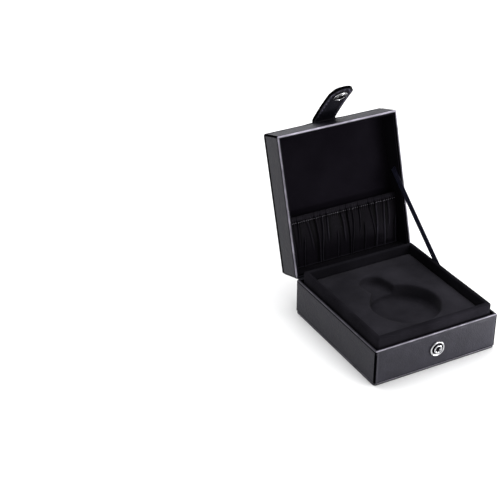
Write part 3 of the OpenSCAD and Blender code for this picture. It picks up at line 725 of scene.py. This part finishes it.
def makeBottomCover(look):
    cover = newCube("bottom_cover_leather", (-caseW / 2, -caseD / 2, 0), (caseW / 2, caseD / 2, coverT))
    bevelEdges(cover, lambda a, b: abs(a.z - b.z) > 0.5, look["radius"], 6)
    bevelEdges(cover, lambda a, b: abs(a.z - b.z) < touch
               and max(abs(a.x) - caseW / 2, abs(a.y) - caseD / 2) > -look["radius"], look["edge"], 4)
    cutAcross(cover, 0, spread(-caseW / 2, caseW / 2, look["cuts"]))
    cutAcross(cover, 1, spread(-caseD / 2, caseD / 2, look["cuts"]))
    # a painted highlight along the cover's upper edge, and painted shade below it
    writeShade(cover, lambda p: 0.22 * smooth(p.z, coverT - 0.75, coverT - 0.4)
               * (0.8 + 0.5 * noise.noise(p / 2.5)) - 0.8 * smooth(p.z, coverT - 0.7, coverT - 1.0))
    finishPiece(cover, "base", basePlace, edgePaint, "leatherette", "bottom_cover")


makeBottomCover(coverLook)

# the leather spine over the hinge, one strip glued on both back walls
spineLook = {"leaf": 6.0, "thick": 0.35, "inset": 1.6, "bendReach": 2.2, "bulge": 0.5, "out": 0.35}


def makeSpine(look):
    width = caseW - 2 * look["inset"]
    strip = newGrid("hinge_spine_leather", width, 2 * look["leaf"], 40, 32)
    lean = math.radians(90 - openDeg)  # the lid's back wall leans below the level when it stands open
    for vertex in strip.data.vertices:
        run = vertex.co.y  # below 0 on the base, above 0 on the lid
        soft = look["bulge"] * look["bendReach"] * math.exp(-((run / (0.55 * look["bendReach"])) ** 2))
        out = soft * look["out"]
        if run < 0:
            y, z = out, run
        else:
            y = run * math.cos(lean) + out * math.sin(-lean)
            z = run * math.sin(lean) - out * math.cos(lean)
        vertex.co = Vector((vertex.co.x, y, z))
    strip.data.update()
    pickAll(strip)
    bpy.ops.mesh.normals_make_consistent(inside=False)
    leaveEdit()
    if sum(f.normal.y for f in strip.data.polygons if f.center.z < -1) < 0:
        pickAll(strip)
        bpy.ops.mesh.flip_normals()
        leaveEdit()
    addModifier(strip, "SOLIDIFY", thickness=look["thick"], offset=1)
    # lighter at the strip's two ends, and painted shade along the bend
    writeShade(strip, lambda p: 0.25 * math.exp(-((abs(p.x) - width / 2) / 0.5) ** 2)
               - 0.5 * math.exp(-(p.yz.length / 0.7) ** 2))
    finishPiece(strip, None, Matrix.Translation(hinge["pos_m"]), wallLeather, "leatherette",
                "spine_lower", "spine_upper")
    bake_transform(strip)


makeSpine(spineLook)
print("cover and spine made")

collarLook = {
    "crest": 1.1, "corner": 1.7, "foot": 14.0, "cells": 5.0,
    "cuts": (9.0, 6.0, 3.0),  # below the collar's top
    "uneven": (0.12, 18.0),
}


def makeCollar(look):
    low, high = boxIn("collar_right", basePlace)
    side, wall, top = high.x, high.x - low.x, high.z
    front = -boxIn("collar_front", basePlace)[0].y
    ring = boxRing("velvet_collar", 2 * side, 2 * front, top - look["foot"], top, wall)
    edgeX, edgeY, radius = side - touch, front - touch, look["corner"]
    bevelEdges(ring, lambda a, b: all(abs(p.x) > edgeX and abs(p.y) > edgeY for p in (a, b)), radius, 5)
    inX, inY = side - wall + touch, front - wall + touch

    def outside(p):  # on the ring's outline with its corners drawn round
        x, y = abs(p.x) - side + radius, abs(p.y) - front + radius
        return max(x, y) > radius - touch or x > 0 and y > 0 and math.hypot(x, y) > radius - 0.05

    bevelEdges(ring, lambda a, b: min(a.z, b.z) > top - touch
               and (all(outside(p) for p in (a, b))
                    or all(abs(p.x) < inX and abs(p.y) < inY for p in (a, b))), look["crest"], 5)
    cutAcross(ring, 0, spread(-side, side, int(2 * side / look["cells"])))
    cutAcross(ring, 1, spread(-front, front, int(2 * front / look["cells"])))
    cutAcross(ring, 2, [top - cut for cut in look["cuts"]])
    uneven(ring, *look["uneven"], lambda p: smooth(p.z, top - look["foot"], top - 4))
    finishPiece(ring, "base", basePlace, collarVelvet, "velvet",
                "collar_front", "collar_back", "collar_left", "collar_right", angle=60)


makeCollar(collarLook)

padLook = {
    "wellD": 50.0, "wellY": -13.0, "wellDepth": 11.0,  # a round well, as in the foam
    "slotW": 20.0, "slotLong": 33.0, "slotDepth": 7.0, "slotTurn": 10.0,
    "voxel": 0.85, "softSteps": 14, "gap": 0.3, "cutter": 40.0,
    "crown": 0.4, "crownReach": 16.0, "edgeDrop": 0.7, "edgeReach": 6.0,
    "uneven": (0.22, 11.0),
}


def makePad(look):
    low, high = boxIn("pad_velvet", basePlace)
    bottom = boxIn("pad_foam", basePlace)[0].z
    gap, top, tall = look["gap"], high.z, look["cutter"]
    pad = newCube("watch_pad", (low.x + gap, low.y + gap, bottom), (high.x - gap, high.y - gap, top))
    wellFloor, slotFloor = top - look["wellDepth"], top - look["slotDepth"]
    bpy.ops.mesh.primitive_cylinder_add(vertices=96, radius=look["wellD"] / 2, depth=tall,
                                        location=(0, look["wellY"], wellFloor + tall / 2))
    well = bpy.context.object
    turn = Matrix.Translation((0, look["wellY"], 0)) @ Matrix.Rotation(math.radians(look["slotTurn"]), 4, "Z")
    half = look["slotW"] / 2
    slot = newCube("slot", (-half, 0, slotFloor), (half, look["slotLong"], slotFloor + tall))
    slot.data.transform(turn)
    bpy.ops.mesh.primitive_cylinder_add(vertices=64, radius=half, depth=tall,
                                        location=turn @ Vector((0, look["slotLong"], slotFloor + tall / 2)))
    slotEnd = bpy.context.object
    for cutter in (well, slot, slotEnd):
        addModifier(pad, "BOOLEAN", operation="DIFFERENCE", object=cutter, solver="EXACT")
        bpy.data.objects.remove(cutter)
    addModifier(pad, "REMESH", mode="VOXEL", voxel_size=look["voxel"])
    addModifier(pad, "SMOOTH", factor=0.5, iterations=look["softSteps"])
    for vertex in pad.data.vertices:  # the velvet is pulled down towards the collar, and swells between
        p = vertex.co
        near = min(high.x - abs(p.x), high.y - abs(p.y))
        lift = (look["crown"] * smooth(near, 0.0, look["crownReach"])
                - look["edgeDrop"] * smooth(near, look["edgeReach"], 0.0))
        vertex.co.z += lift * smooth(p.z, wellFloor + 3, top)
    uneven(pad, *look["uneven"])
    finishPiece(pad, "base", basePlace, padVelvet, "velvet", "pad_foam", "pad_velvet", angle=80)


makePad(padLook)
print("collar and pad made")

snapLook = {
    "steps": 64, "studD": 11.5, "bulbD": 6.4, "bulbH": 2.0, "hollowR": 2.0, "socketD": 10.6,
    "socketH": 1.4, "bore": 3.4, "capD": 14.4, "capH": 3.0,
}
capLow, capHigh = boxIn("snap_cap", strapPlace)
snapDrop = -(capLow.z + capHigh.z) / 2  # from the strap's fold down to the snap's middle


def faceOf(place, y, z, sign):  # a frame on an upright face, its Z along the face's normal
    return place @ Matrix.Translation((0, y * mm, z * mm)) @ Matrix.Rotation(sign * math.pi / 2, 4, "X")


def makeStud(look):
    low, high = boxIn("snap_stud_ring", basePlace)
    place = faceOf(basePlace, -caseD / 2, (low.z + high.z) / 2, 1)
    edge = look["studD"] / 2
    ring = spinProfile("snap_stud_ring_plate", [(0.5, 0.0), (edge - 0.35, 0.0)]
                       + arc(edge - 0.7, 0.55, 0.68, -50, 165, 14)
                       + [(edge - 1.5, 0.3), (edge - 1.65, 0.16), (3.35, 0.14), (3.1, 0.3), (0.5, 0.3),
                          (0.5, 0.0)], look["steps"])
    finishPiece(ring, "base", place, nickel, "nickel", "snap_stud_ring", angle=50)
    # painted shade in the ring's groove
    secondFinish(ring, place, recessShadeMetal, lambda p: p.xy.length < edge - 1.45 and p.z > 0.05)
    bulb, top, hollow = look["bulbD"] / 2, look["bulbH"], look["hollowR"]
    wall = bulb - hollow
    post = spinProfile("snap_stud_bulb", [(0.0, 0.35), (bulb - 0.45, 0.35), (bulb - 0.35, 0.6)]
                       + [(bulb - 0.2, 0.9)] + arc(bulb - 0.52, top - 0.52, 0.52, -20, 120, 8)
                       + [(hollow, top - wall / 2), (hollow - 0.12, 1.1), (hollow - 0.3, 0.62),
                          (hollow - 0.7, 0.5), (0.0, 0.48)], look["steps"])
    finishPiece(post, "base", place, nickel, "nickel", "snap_stud_post", angle=50)
    # painted shade in the bulb's hollow and round its foot
    secondFinish(post, place, recessShadeMetal, lambda p: p.xy.length < hollow - 0.1 and p.z < 1.2
                 or p.xy.length > bulb - 0.6 and p.z < 0.9)


def makeCap(look):
    edge, high, rim = look["capD"] / 2, look["capH"], 0.6
    domeR = (edge ** 2 + (high - rim) ** 2) / (2 * (high - rim))
    domeEdge = math.degrees(math.acos((edge - 0.5) / domeR))
    dome = arc(0.0, high - domeR, domeR, domeEdge, 90, 20)
    cap = spinProfile("snap_cap_dome", [(0.0, 0.0), (edge - 0.7, 0.0)]
                      + arc(edge - 0.38, 0.38, 0.38, -90, 80, 8) + dome[1:], look["steps"] + 32)
    place = faceOf(strapPlace, capHigh.y, -snapDrop, 1)
    finishPiece(cap, "strap", place, capEnamel, "black_enamel", "snap_cap", angle=60)


def makeSocket(look):
    edge, high, bore = look["socketD"] / 2, look["socketH"], look["bore"]
    socket = spinProfile("snap_socket_ring", [(0.0, 0.0), (edge - 0.5, 0.0)]
                         + arc(edge - 0.5, 0.5, 0.5, -85, 150, 10)
                         + [(edge - 1.05, 0.55), (bore + 0.75, 0.5)]
                         + arc(bore + 0.36, high - 0.36, 0.36, 30, 180, 8)
                         + [(bore, 0.5), (bore - 0.2, 0.32), (0.0, 0.3)], look["steps"])
    place = faceOf(strapPlace, boxIn("snap_socket", strapPlace)[0].y, -snapDrop, -1)
    finishPiece(socket, "strap", place, nickel, "nickel", "snap_socket", angle=50)
    # painted shade in the socket's bore and groove
    secondFinish(socket, place, recessShadeMetal, lambda p: p.z > 0.2
                 and (p.xy.length < bore + 0.02 or bore + 0.7 < p.xy.length < edge - 0.85))


makeStud(snapLook)
makeCap(snapLook)
makeSocket(snapLook)
print("snap made")

panelLook = {"edge": 0.55, "crown": 0.14, "crownReach": 10.0, "cuts": 24}


def makePanel(look):
    low, high = boxIn("lining_panel", lidPlace)
    panel = newCube("lid_panel_velvet", low, high)
    bevelEdges(panel, lambda a, b: abs(a.z - b.z) < touch and a.z < low.z + touch, look["edge"], 4)
    cutAcross(panel, 0, spread(low.x, high.x, look["cuts"]))
    cutAcross(panel, 1, spread(low.y, high.y, look["cuts"]))
    for vertex in panel.data.vertices:
        p = vertex.co
        near = min(high.x - abs(p.x), p.y - low.y, high.y - p.y)
        if p.z < high.z - 0.05:
            vertex.co.z -= look["crown"] * smooth(near, 0.5, look["crownReach"])
    finishPiece(panel, "lid", lidPlace, liningVelvet, "velvet", "lining_panel")


makePanel(panelLook)

pocketLook = {
    "low": 3.5, "line": 38.3, "top": 42.8,  # up the lid from the hinge: seam, elastic line, ruffle's edge
    "half": 46.9, "seamOut": 1.8, "lineOut": 6.0, "belly": 0.7,  # how far the cloth stands off the panel
    "ridges": 18, "ridgeHigh": (0.8, 1.8), "ridgeWide": (0.42, 0.75), "lean": 2.2,
    "starts": (0.0, 0.42, 0.0, 0.30, 0.0),  # where up the cloth each of five kinds of ridge starts
    "ends": (1.0, 1.0, 0.62, 1.0, 1.0),  # and where it ends
    "shortKind": 2, "leaningKind": 3,
    "tucks": 54, "tuckDepth": 0.3, "tuckReach": 2.4,
    "wander": 0.35, "wanders": 5.5,  # how far a ridge winds to and fro, and how often
    "lineHalf": 0.8, "seamWide": 0.7,  # the painted shade line over the elastic, and the light seam at the foot
    "cloth": 0.3, "across": 460, "along": 60,
    "band": (2.6, 0.5),  # the elastic's width and thickness
    "stitch": (0.62, 0.62),
}


def pocketRidges(look):  # thin folds: some run the whole height, some die away, some lean into the next one
    dice = random.Random(5)
    ridges = []
    for k in range(look["ridges"]):
        place = (k + 0.5 + dice.uniform(-0.3, 0.3)) * 2 * look["half"] / look["ridges"] - look["half"]
        kind = k % len(look["starts"])
        low = look["starts"][kind] + dice.uniform(0.0, 0.08)
        high = look["ends"][kind] + dice.uniform(-0.06, 0.0) * (kind == look["shortKind"])
        lean = (2.1 if kind == look["leaningKind"] else dice.uniform(-1, 1)) * look["lean"]
        ridges.append({"x": place, "lean": lean, "low": low, "high": high,
                       "tall": dice.uniform(*look["ridgeHigh"]), "wide": dice.uniform(*look["ridgeWide"]),
                       "phase": dice.uniform(0, math.tau), "light": dice.uniform(0.35, 1.0),
                       "shadeSide": dice.choice((-2.2, 2.2))})
    return ridges


def makePocket(look):
    panelFace = boxIn("lining_panel", lidPlace)[0].z
    low, line, top, half = look["low"], look["line"], look["top"], look["half"]
    seam = (line - low) / (top - low)
    ridges = pocketRidges(look)

    def clothOff(x, v):  # how far the gathered cloth stands off the panel, without its folds
        rise = smooth(v, -0.25, 0.95 * seam)
        belly = look["belly"] * math.sin(math.pi * min(1.0, v / seam)) * math.cos(x / half * math.pi / 2.3)
        return look["seamOut"] + (look["lineOut"] - look["seamOut"]) * rise + belly

    def ridgeAt(x, run):  # how high the ridges are at a point, their painted sheen, and the painted shade beside them
        height, light, dark = 0.0, 0.0, 0.0
        for ridge in ridges:
            wander = look["wander"] * math.sin(look["wanders"] * run + ridge["phase"])
            away = (x - ridge["x"] - ridge["lean"] * (1 - run) - wander) / ridge["wide"]
            if abs(away) < 4:
                lasts = smooth(run, ridge["low"] - 0.12, ridge["low"] + 0.08) if ridge["low"] > 0.1 else 1.0
                lasts *= smooth(run, ridge["high"] + 0.1, ridge["high"] - 0.1) if ridge["high"] < 0.9 else 1.0
                height = max(height, ridge["tall"] * lasts * math.exp(-away ** 2) * (0.55 + 0.45 * run))
                light = max(light, ridge["light"] * lasts * math.exp(-(away / 0.6) ** 2))
                dark = max(dark, 0.8 * lasts * math.exp(-((away + ridge["shadeSide"]) / 1.3) ** 2))
        return height, light, dark

    def folds(x, v):  # height of the cloth at a point, and its painted light and shade
        run = min(1.0, v / seam)
        height, light, dark = ridgeAt(x, run)
        above = (v - seam) * (top - low)
        tuck = math.exp(-(above / look["tuckReach"]) ** 2) if above < 0 else 1.0
        beat = math.cos(math.tau * look["tucks"] * (x / (2 * half) + 0.5))
        height += look["tuckDepth"] * beat * tuck * (1 - 0.5 * smooth(above, 0.0, 4.0))
        if abs(above) < look["lineHalf"]:
            return height, -0.8
        if above > 0:  # the ruffle, with a painted highlight on its tucks, darker towards its edge
            haze = 0.16 * noise.noise(Vector((x / 1.3, above / 2.0, 0.2)))
            light = 0.04 + 0.05 * beat + haze - 0.2 * smooth(above, 2.5, 4.4)
            return height * (1 - 0.75 * smooth(above, 0.6, 2.2)), light
        if v * (top - low) < look["seamWide"]:
            return height, 0.5
        # darker in patches, and darker towards the elastic
        patch = 0.35 * noise.noise(Vector((x / 5.0, v * 1.2, 3.1)))
        return height, light - dark * (1 - light) + min(0.0, patch) - 0.28 * smooth(run, 0.25, 1.0)

    cloth = newGrid("gathered_pocket", 1, 1, look["across"], look["along"])
    lights = []
    for vertex in cloth.data.vertices:
        x, v = vertex.co.x * 2 * half, vertex.co.y + 0.5
        height, light = folds(x, v)
        side = smooth(half - abs(x), 0.0, 1.2)
        lights.append(light * side)
        stands = clothOff(x, v) + (height + look["tuckDepth"]) * side
        vertex.co = Vector((x, -(low + v * (top - low)), panelFace - stands))
    nameUv(cloth, lambda p: (p.x / 100 + 0.5, -p.y / 100))
    # the fold attribute carries the painted sheen and shade of the folds
    cloth.data.attributes.new("fold", "FLOAT", "POINT").data.foreach_set("value", lights)
    addModifier(cloth, "SOLIDIFY", thickness=look["cloth"], offset=0)
    cleanUp(cloth)
    finishPiece(cloth, "lid", lidPlace, pocketSatin, "pocket_cloth", "pocket_cloth", angle=80)

    wide, thick = look["band"]
    band = newGrid("pocket_elastic_band", 2 * half - 0.2, wide, 60, 2)
    for vertex in band.data.vertices:
        x, up = vertex.co.x, line + vertex.co.y
        behind = look["tuckDepth"] + 0.35 + thick / 2
        vertex.co = Vector((x, -up, panelFace - clothOff(x, (up - low) / (top - low)) + behind))
    nameUv(band)
    addModifier(band, "SOLIDIFY", thickness=thick, offset=0)
    cleanUp(band)
    finishPiece(band, "lid", lidPlace, elasticWeave, "elastic", "pocket_elastic", angle=60)

    places = []
    for k in range(look["tucks"]):
        x = ((k + 0.5) / look["tucks"] - 0.5) * 2 * (half - 1.0)
        out = clothOff(x, seam) + folds(x, seam)[0] + look["tuckDepth"] + look["cloth"] / 2 + 0.1
        places.append(Matrix.Translation((x, -line, panelFace - out)) @ Matrix.Rotation(math.pi, 4, "X"))
    dots = sewStitches("pocket_gathering_stitches", *look["stitch"], places)
    finishPiece(dots, "lid", lidPlace, dotThread, "thread", "pocket_thread", angle=80)


makePocket(pocketLook)

ribbonLook = {"width": 6.0, "thick": 0.22, "cells": 60, "waist": 0.06, "curl": 0.08, "in": 0.02}


def makeStayRibbon(look):
    points = [v.co / mm for v in frame["nodes"]["stay_ribbon"].data.vertices]
    centre = sum(points, Vector()) / len(points)
    axis = max((a - b for a in points for b in points), key=lambda d: d.length)
    if axis.z < 0:
        axis = -axis
    points.sort(key=lambda p: (p - centre).dot(axis))
    count = len(points) // 2
    lowEnd = sum(points[:count], Vector()) / count
    highEnd = sum(points[count:], Vector()) / (len(points) - count)
    run = highEnd - lowEnd
    strip = newGrid("stay_ribbon_satin", look["width"], run.length, 8, look["cells"])
    nameUv(strip, lambda p: (p.x / look["width"] + 0.5, p.y / 100))
    across = Vector((1, 0, 0)).cross(run.normalized())
    for vertex in strip.data.vertices:
        w, t = vertex.co.x, vertex.co.y / run.length + 0.5
        narrow = 1 - look["waist"] * math.sin(math.pi * t)
        out = look["curl"] * math.cos(math.pi * w / look["width"] * 2)
        vertex.co = lowEnd + run * t + across * w * narrow + Vector((out - look["in"], 0, 0))
    addModifier(strip, "SOLIDIFY", thickness=look["thick"], offset=0)
    finishPiece(strip, None, basePlace, ribbonSatin, "ribbon", "stay_ribbon", angle=80)
    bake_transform(strip)


makeStayRibbon(ribbonLook)
print("lining, pocket and ribbon made")

topLook = {
    "leather": 0.8, "stitchIn": 2.8, "crown": 4.7, "nodeCrown": 4.2, "corner": 1.6,
    "rise": 1.9,  # over the strap's root
    "riseSide": 10.25, "riseBack": 8.5, "riseRamp": 8.0, "riseFade": 20.0,
    "pitch": 4.0, "stitchLong": 2.7, "thread": 0.75, "stitchUp": 0.12,
    "dent": (0.35, 0.45),  # depth and width of the dent that the stitches draw
    "roll": (0.35, 0.6),  # and of the rounding of the cover's edge
    "shadeReach": (16.0, 22.0, 11.0),  # how far in from the side, front and back seams the painted shade on the padding reaches
    "cells": 1.0,
    "uneven": (0.12, 22.0),
}


def topRise(p, look):
    return (look["rise"] * smooth(1 + (look["riseSide"] - abs(p.x)) / look["riseRamp"])
            * smooth(1 + (look["riseBack"] - caseD / 2 - p.y) / look["riseFade"]))


def swell(t):
    return 0.0 if t >= 1 else (1 - t ** 3) ** 0.7


def topSheet(name, look, height, crowned, inset):
    width, depth = caseW - 2 * inset, caseD - 2 * inset
    sheet = newGrid(name, width, depth, int(width / look["cells"]), int(depth / look["cells"]))
    cut = look["stitchIn"] + look["thread"] / 2
    for offset in (cut - 0.5, cut, cut + 0.5):
        cutAcross(sheet, 0, [-caseW / 2 + offset, caseW / 2 - offset])
        cutAcross(sheet, 1, [-caseD / 2 + offset, caseD / 2 - offset])
    crownX, crownY = caseW / 2 - cut - 0.3, caseD / 2 - cut - 0.3
    dent, dentWide = look["dent"]
    roll, rollWide = look["roll"]
    for vertex in sheet.data.vertices:
        p = vertex.co
        z = height + topRise(p, look)
        if crowned:
            z += look["crown"] * swell(abs(p.x) / crownX) * swell(abs(p.y) / crownY)
            line = min(abs(away - cut) for away in fromWalls(p))
            z -= dent * math.exp(-(line / dentWide) ** 2) * (min(fromWalls(p)) > cut - 1)
            edge = min(width / 2 - abs(p.x), depth / 2 - abs(p.y))
            z -= roll * (1 - min(1.0, edge / rollWide)) ** 2
        reach = Vector((max(0.0, abs(p.x) - width / 2 + look["corner"]),
                        max(0.0, abs(p.y) - depth / 2 + look["corner"])))
        if reach.length > 1e-6:  # corners drawn round
            scale = max(reach) / reach.length
            x = min(abs(p.x), width / 2 - look["corner"]) + reach.x * scale
            y = min(abs(p.y), depth / 2 - look["corner"]) + reach.y * scale
            vertex.co = Vector((math.copysign(x, p.x), math.copysign(y, p.y), z))
        else:
            vertex.co.z = z
    return sheet


def topStitchPlaces(look, cut, height):
    places = []
    step = Vector((1, 0, 0))
    for side in range(4):
        half, out = (caseW / 2, caseD / 2) if side % 2 == 0 else (caseD / 2, caseW / 2)
        turn = Matrix.Rotation(side * math.pi / 2, 4, "Z")
        run = 2 * (half - look["stitchIn"])
        count = int(run / look["pitch"])
        for k in range(count):
            spot = turn @ Vector(((k + 0.5) * run / count - run / 2, -out + cut, 0))
            z = height - look["dent"][0] + look["stitchUp"] + topRise(spot, look)
            slope = math.atan2(topRise(spot + step, look) - topRise(spot - step, look), 2)
            place = Matrix.Translation(spot + Vector((0, 0, z))) @ turn
            places.append(place @ Matrix.Rotation(-slope, 4, "Y") if side == 0 else place)
    return places


def makePaddedTop(look):
    topPlace = lidPlace @ Matrix.Translation((0, -caseD / 2 * mm, 0))
    backZ = boxIn("cushion_backing", topPlace)[0].z + look["leather"] + 0.05
    flangeZ = boxIn("cushion_cover", topPlace)[1].z - look["nodeCrown"]
    cut = look["stitchIn"] + look["thread"] / 2
    lower = topSheet("padded_top_backing", look, backZ, False, 0.0)
    addModifier(lower, "SOLIDIFY", thickness=look["leather"], offset=-1)
    # painted shade below the backing's top edge, in the gap to the lid
    writeShade(lower, lambda p: 0.05 if p.z > backZ + topRise(p, look) - 0.4 else -1.0)
    finishPiece(lower, "lid", topPlace, borderLeather, "leatherette", "cushion_backing")
    top = topSheet("padded_top_cover", look, flangeZ, True, 0.05)
    uneven(top, *look["uneven"], lambda p: smooth(min(fromWalls(p)), 5.0, 14.0))
    addModifier(top, "SOLIDIFY", thickness=look["leather"], offset=-1)

    def shade(p):
        near = min(fromWalls(p))
        if near < 0.3 and p.z < flangeZ + topRise(p, look) - 0.7:
            return -1.0  # painted shade in the gap under the cover's edge
        if near < cut:
            # the border a little lighter, with a painted highlight along its rolled edge
            return 0.06 + 0.2 * smooth(near, 0.9, 0.2)
        # painted shade, darker towards the seams, in place of the shade the padding's slopes take
        lit = 1.0
        for away, shadeReach in zip((caseW / 2 - abs(p.x), caseD / 2 + p.y, caseD / 2 - p.y), look["shadeReach"]):
            lit *= smooth((away - cut) / shadeReach, -0.15, 1.0)
        return -0.97 * (1 - lit ** 1.7)

    writeShade(top, shade)
    finishPiece(top, "lid", topPlace, topLeather, "leatherette", "cushion_cover", "cushion_foam", angle=80)
    secondFinish(top, topPlace, borderLeather, lambda p: min(fromWalls(p)) < cut)
    sewn = sewStitches("padded_top_stitches", look["stitchLong"], look["thread"],
                       topStitchPlaces(look, cut, flangeZ))
    finishPiece(sewn, "lid", topPlace, blackThread, "thread", "cushion_stitching", angle=80)


makePaddedTop(topLook)
print("padded top made")

strapLook = {
    "width": 18.5, "ply": 1.12, "gap": 0.06, "foldRadius": 1.7, "tongue": 8.0, "seat": 1.6,
    "tip": -44.2, "cells": 0.9, "stitchIn": 1.9, "pitch": 4.4, "stitchLong": 3.0, "thread": 0.8,
    "clear": 4.5,  # from the tongue to the first stitch
    "around": 5,  # stitches round the tip
    "outer": (0.10, 0.3, 0.6),  # the edge's light line, the painted edge's width, the line's place inside
    "lining": (0.07, 0.55, 1.0),
    "thin": 0.18, "thinReach": 1.6,  # how much a ply thins towards its edge
    "bendReach": 2.4,
}
rivetLow, rivetHigh = boxIn("snap_rivet", strapPlace)
strapOut = -(rivetLow.y + rivetHigh.y) / 2  # how far in front of the fold the strap's middle is at the snap


def bow(drop):  # how far it stands in front of the fold, at a drop below it
    return strapOut * math.sin(math.pi / 2 * min(1.0, drop / snapDrop)) ** 0.9


def strapLine(look):  # the strap's middle from its root to its tip, in the fold's frame
    turn = math.radians(90 - springDeg)
    root = Vector((0, -math.sin(turn), -math.cos(turn)))  # the way the tongue leaves the lid
    inside = Vector((0, -root.z, root.y))
    radius = look["foldRadius"]
    reach = radius * math.tan(turn / 2)
    straight = look["tongue"] + look["seat"] - reach
    points = [root * (straight * i / 12 - straight - reach) for i in range(12)]
    for i in range(9):
        angle = turn * i / 8
        points.append(-root * reach + (root * math.sin(angle) + inside * (1 - math.cos(angle))) * radius)
    drop = reach
    while drop < -look["tip"]:
        drop = min(drop + 0.8, -look["tip"])
        points.append(Vector((0, -bow(drop), -drop)))
    return points


def strapRoute(look):  # a function that gives place and heading at a run along the strap, and its length
    line = strapLine(look)
    lengths = [0.0]
    for a, b in zip(line, line[1:]):
        lengths.append(lengths[-1] + (b - a).length)
    total = lengths[-1]

    def at(run):
        run = max(0.0, min(total, run))
        i = min(max(j for j in range(len(lengths)) if lengths[j] <= run + 1e-9), len(line) - 2)
        share = (run - lengths[i]) / (lengths[i + 1] - lengths[i])
        here = (line[i + 1] - line[i]).normalized()
        ahead = (line[i + 2] - line[i + 1]).normalized() if i + 2 < len(line) else here
        return line[i].lerp(line[i + 1], share), here.lerp(ahead, share).normalized()

    return at, total


def makePly(name, look, offset):
    at, total = strapRoute(look)
    ply = newGrid(name, look["width"], total, 20, int(total / look["cells"]))
    half = look["width"] / 2
    tipCentre = total - half
    for vertex in ply.data.vertices:
        x, run = vertex.co.x, vertex.co.y + total / 2
        if run > tipCentre:  # the round tip
            up = run - tipCentre
            reach = Vector((x, up))
            scale = max(abs(x), abs(up)) / reach.length if reach.length > 1e-6 else 1.0
            x, run = x * scale, tipCentre + up * scale
        point, heading = at(run)
        outward = Vector((0, heading.z, -heading.y))
        near = half - abs(x) if run < tipCentre else half - Vector((x, run - tipCentre)).length
        thin = look["thin"] * (1 - smooth(near, 0.0, look["thinReach"]))
        vertex.co = Vector((x, 0, 0)) + point + outward * (offset - math.copysign(thin, offset))
    addModifier(ply, "SOLIDIFY", thickness=look["ply"], offset=0)
    cleanUp(ply)
    return ply


def strapStitchPlaces(look, out, sign):
    at, total = strapRoute(look)
    half = look["width"] / 2
    tipCentre, edge = total - half, half - look["stitchIn"]
    count = int((tipCentre - look["tongue"] - look["clear"]) / look["pitch"])
    stitches = [(side * edge, tipCentre - (k + 0.5) * look["pitch"], 0.0)
                for side in (-1, 1) for k in range(count)]
    for k in range(look["around"]):
        angle = math.pi * (k + 0.5) / look["around"]
        stitches.append((edge * math.cos(angle), tipCentre + edge * math.sin(angle), angle + math.pi / 2))
    places = []
    for x, run, angle in stitches:
        point, heading = at(run)
        outward = Vector((0, heading.z, -heading.y)) * sign
        ahead = (heading * math.cos(angle) + Vector((1, 0, 0)) * math.sin(angle)).normalized()
        turn = Matrix((ahead, outward.cross(ahead), outward)).transposed().to_4x4()
        places.append(Matrix.Translation(Vector((x, 0, 0)) + point + outward * out) @ turn)
    return places


def makeStrap(look):
    shift = (look["ply"] + look["gap"]) / 2
    half = look["width"] / 2
    tipDrop = look["tip"] + half

    def inFrom(p):  # how far a point lies inside the strap's edge
        return half - (abs(p.x) if p.z > tipDrop else math.hypot(p.x, p.z - tipDrop))

    for name, sign, leather, nodes, (light, edge, lineIn) in (
            ("strap_outer_ply", 1, wallLeather, ("strap_outer", "strap_tongue"), look["outer"]),
            ("strap_lining_ply", -1, strapLeather, ("strap_lining",), look["lining"])):
        ply = makePly(name, look, shift * sign)
        writeShade(ply, lambda p: light * math.exp(-((inFrom(p) - lineIn) / 0.3) ** 2))
        finishPiece(ply, None, strapPlace, leather, "leatherette", *nodes, angle=50)
        secondFinish(ply, strapPlace, shadeAndEdgeBlack, lambda p: inFrom(p) < edge)
        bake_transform(ply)
    face = shift + look["ply"] / 2
    for name, sign, sunk, thread, nodes in (("strap_stitches", 1, 0.05, blackThread, ("strap_stitching",)),
                                            ("strap_lining_stitches", -1, 0.09, greyThread, ())):
        places = strapStitchPlaces(look, face - sunk, sign)
        sewn = sewStitches(name, look["stitchLong"], look["thread"], places)
        finishPiece(sewn, "strap", strapPlace, thread, "thread", *nodes, angle=80)


makeStrap(strapLook)
print("strap made")
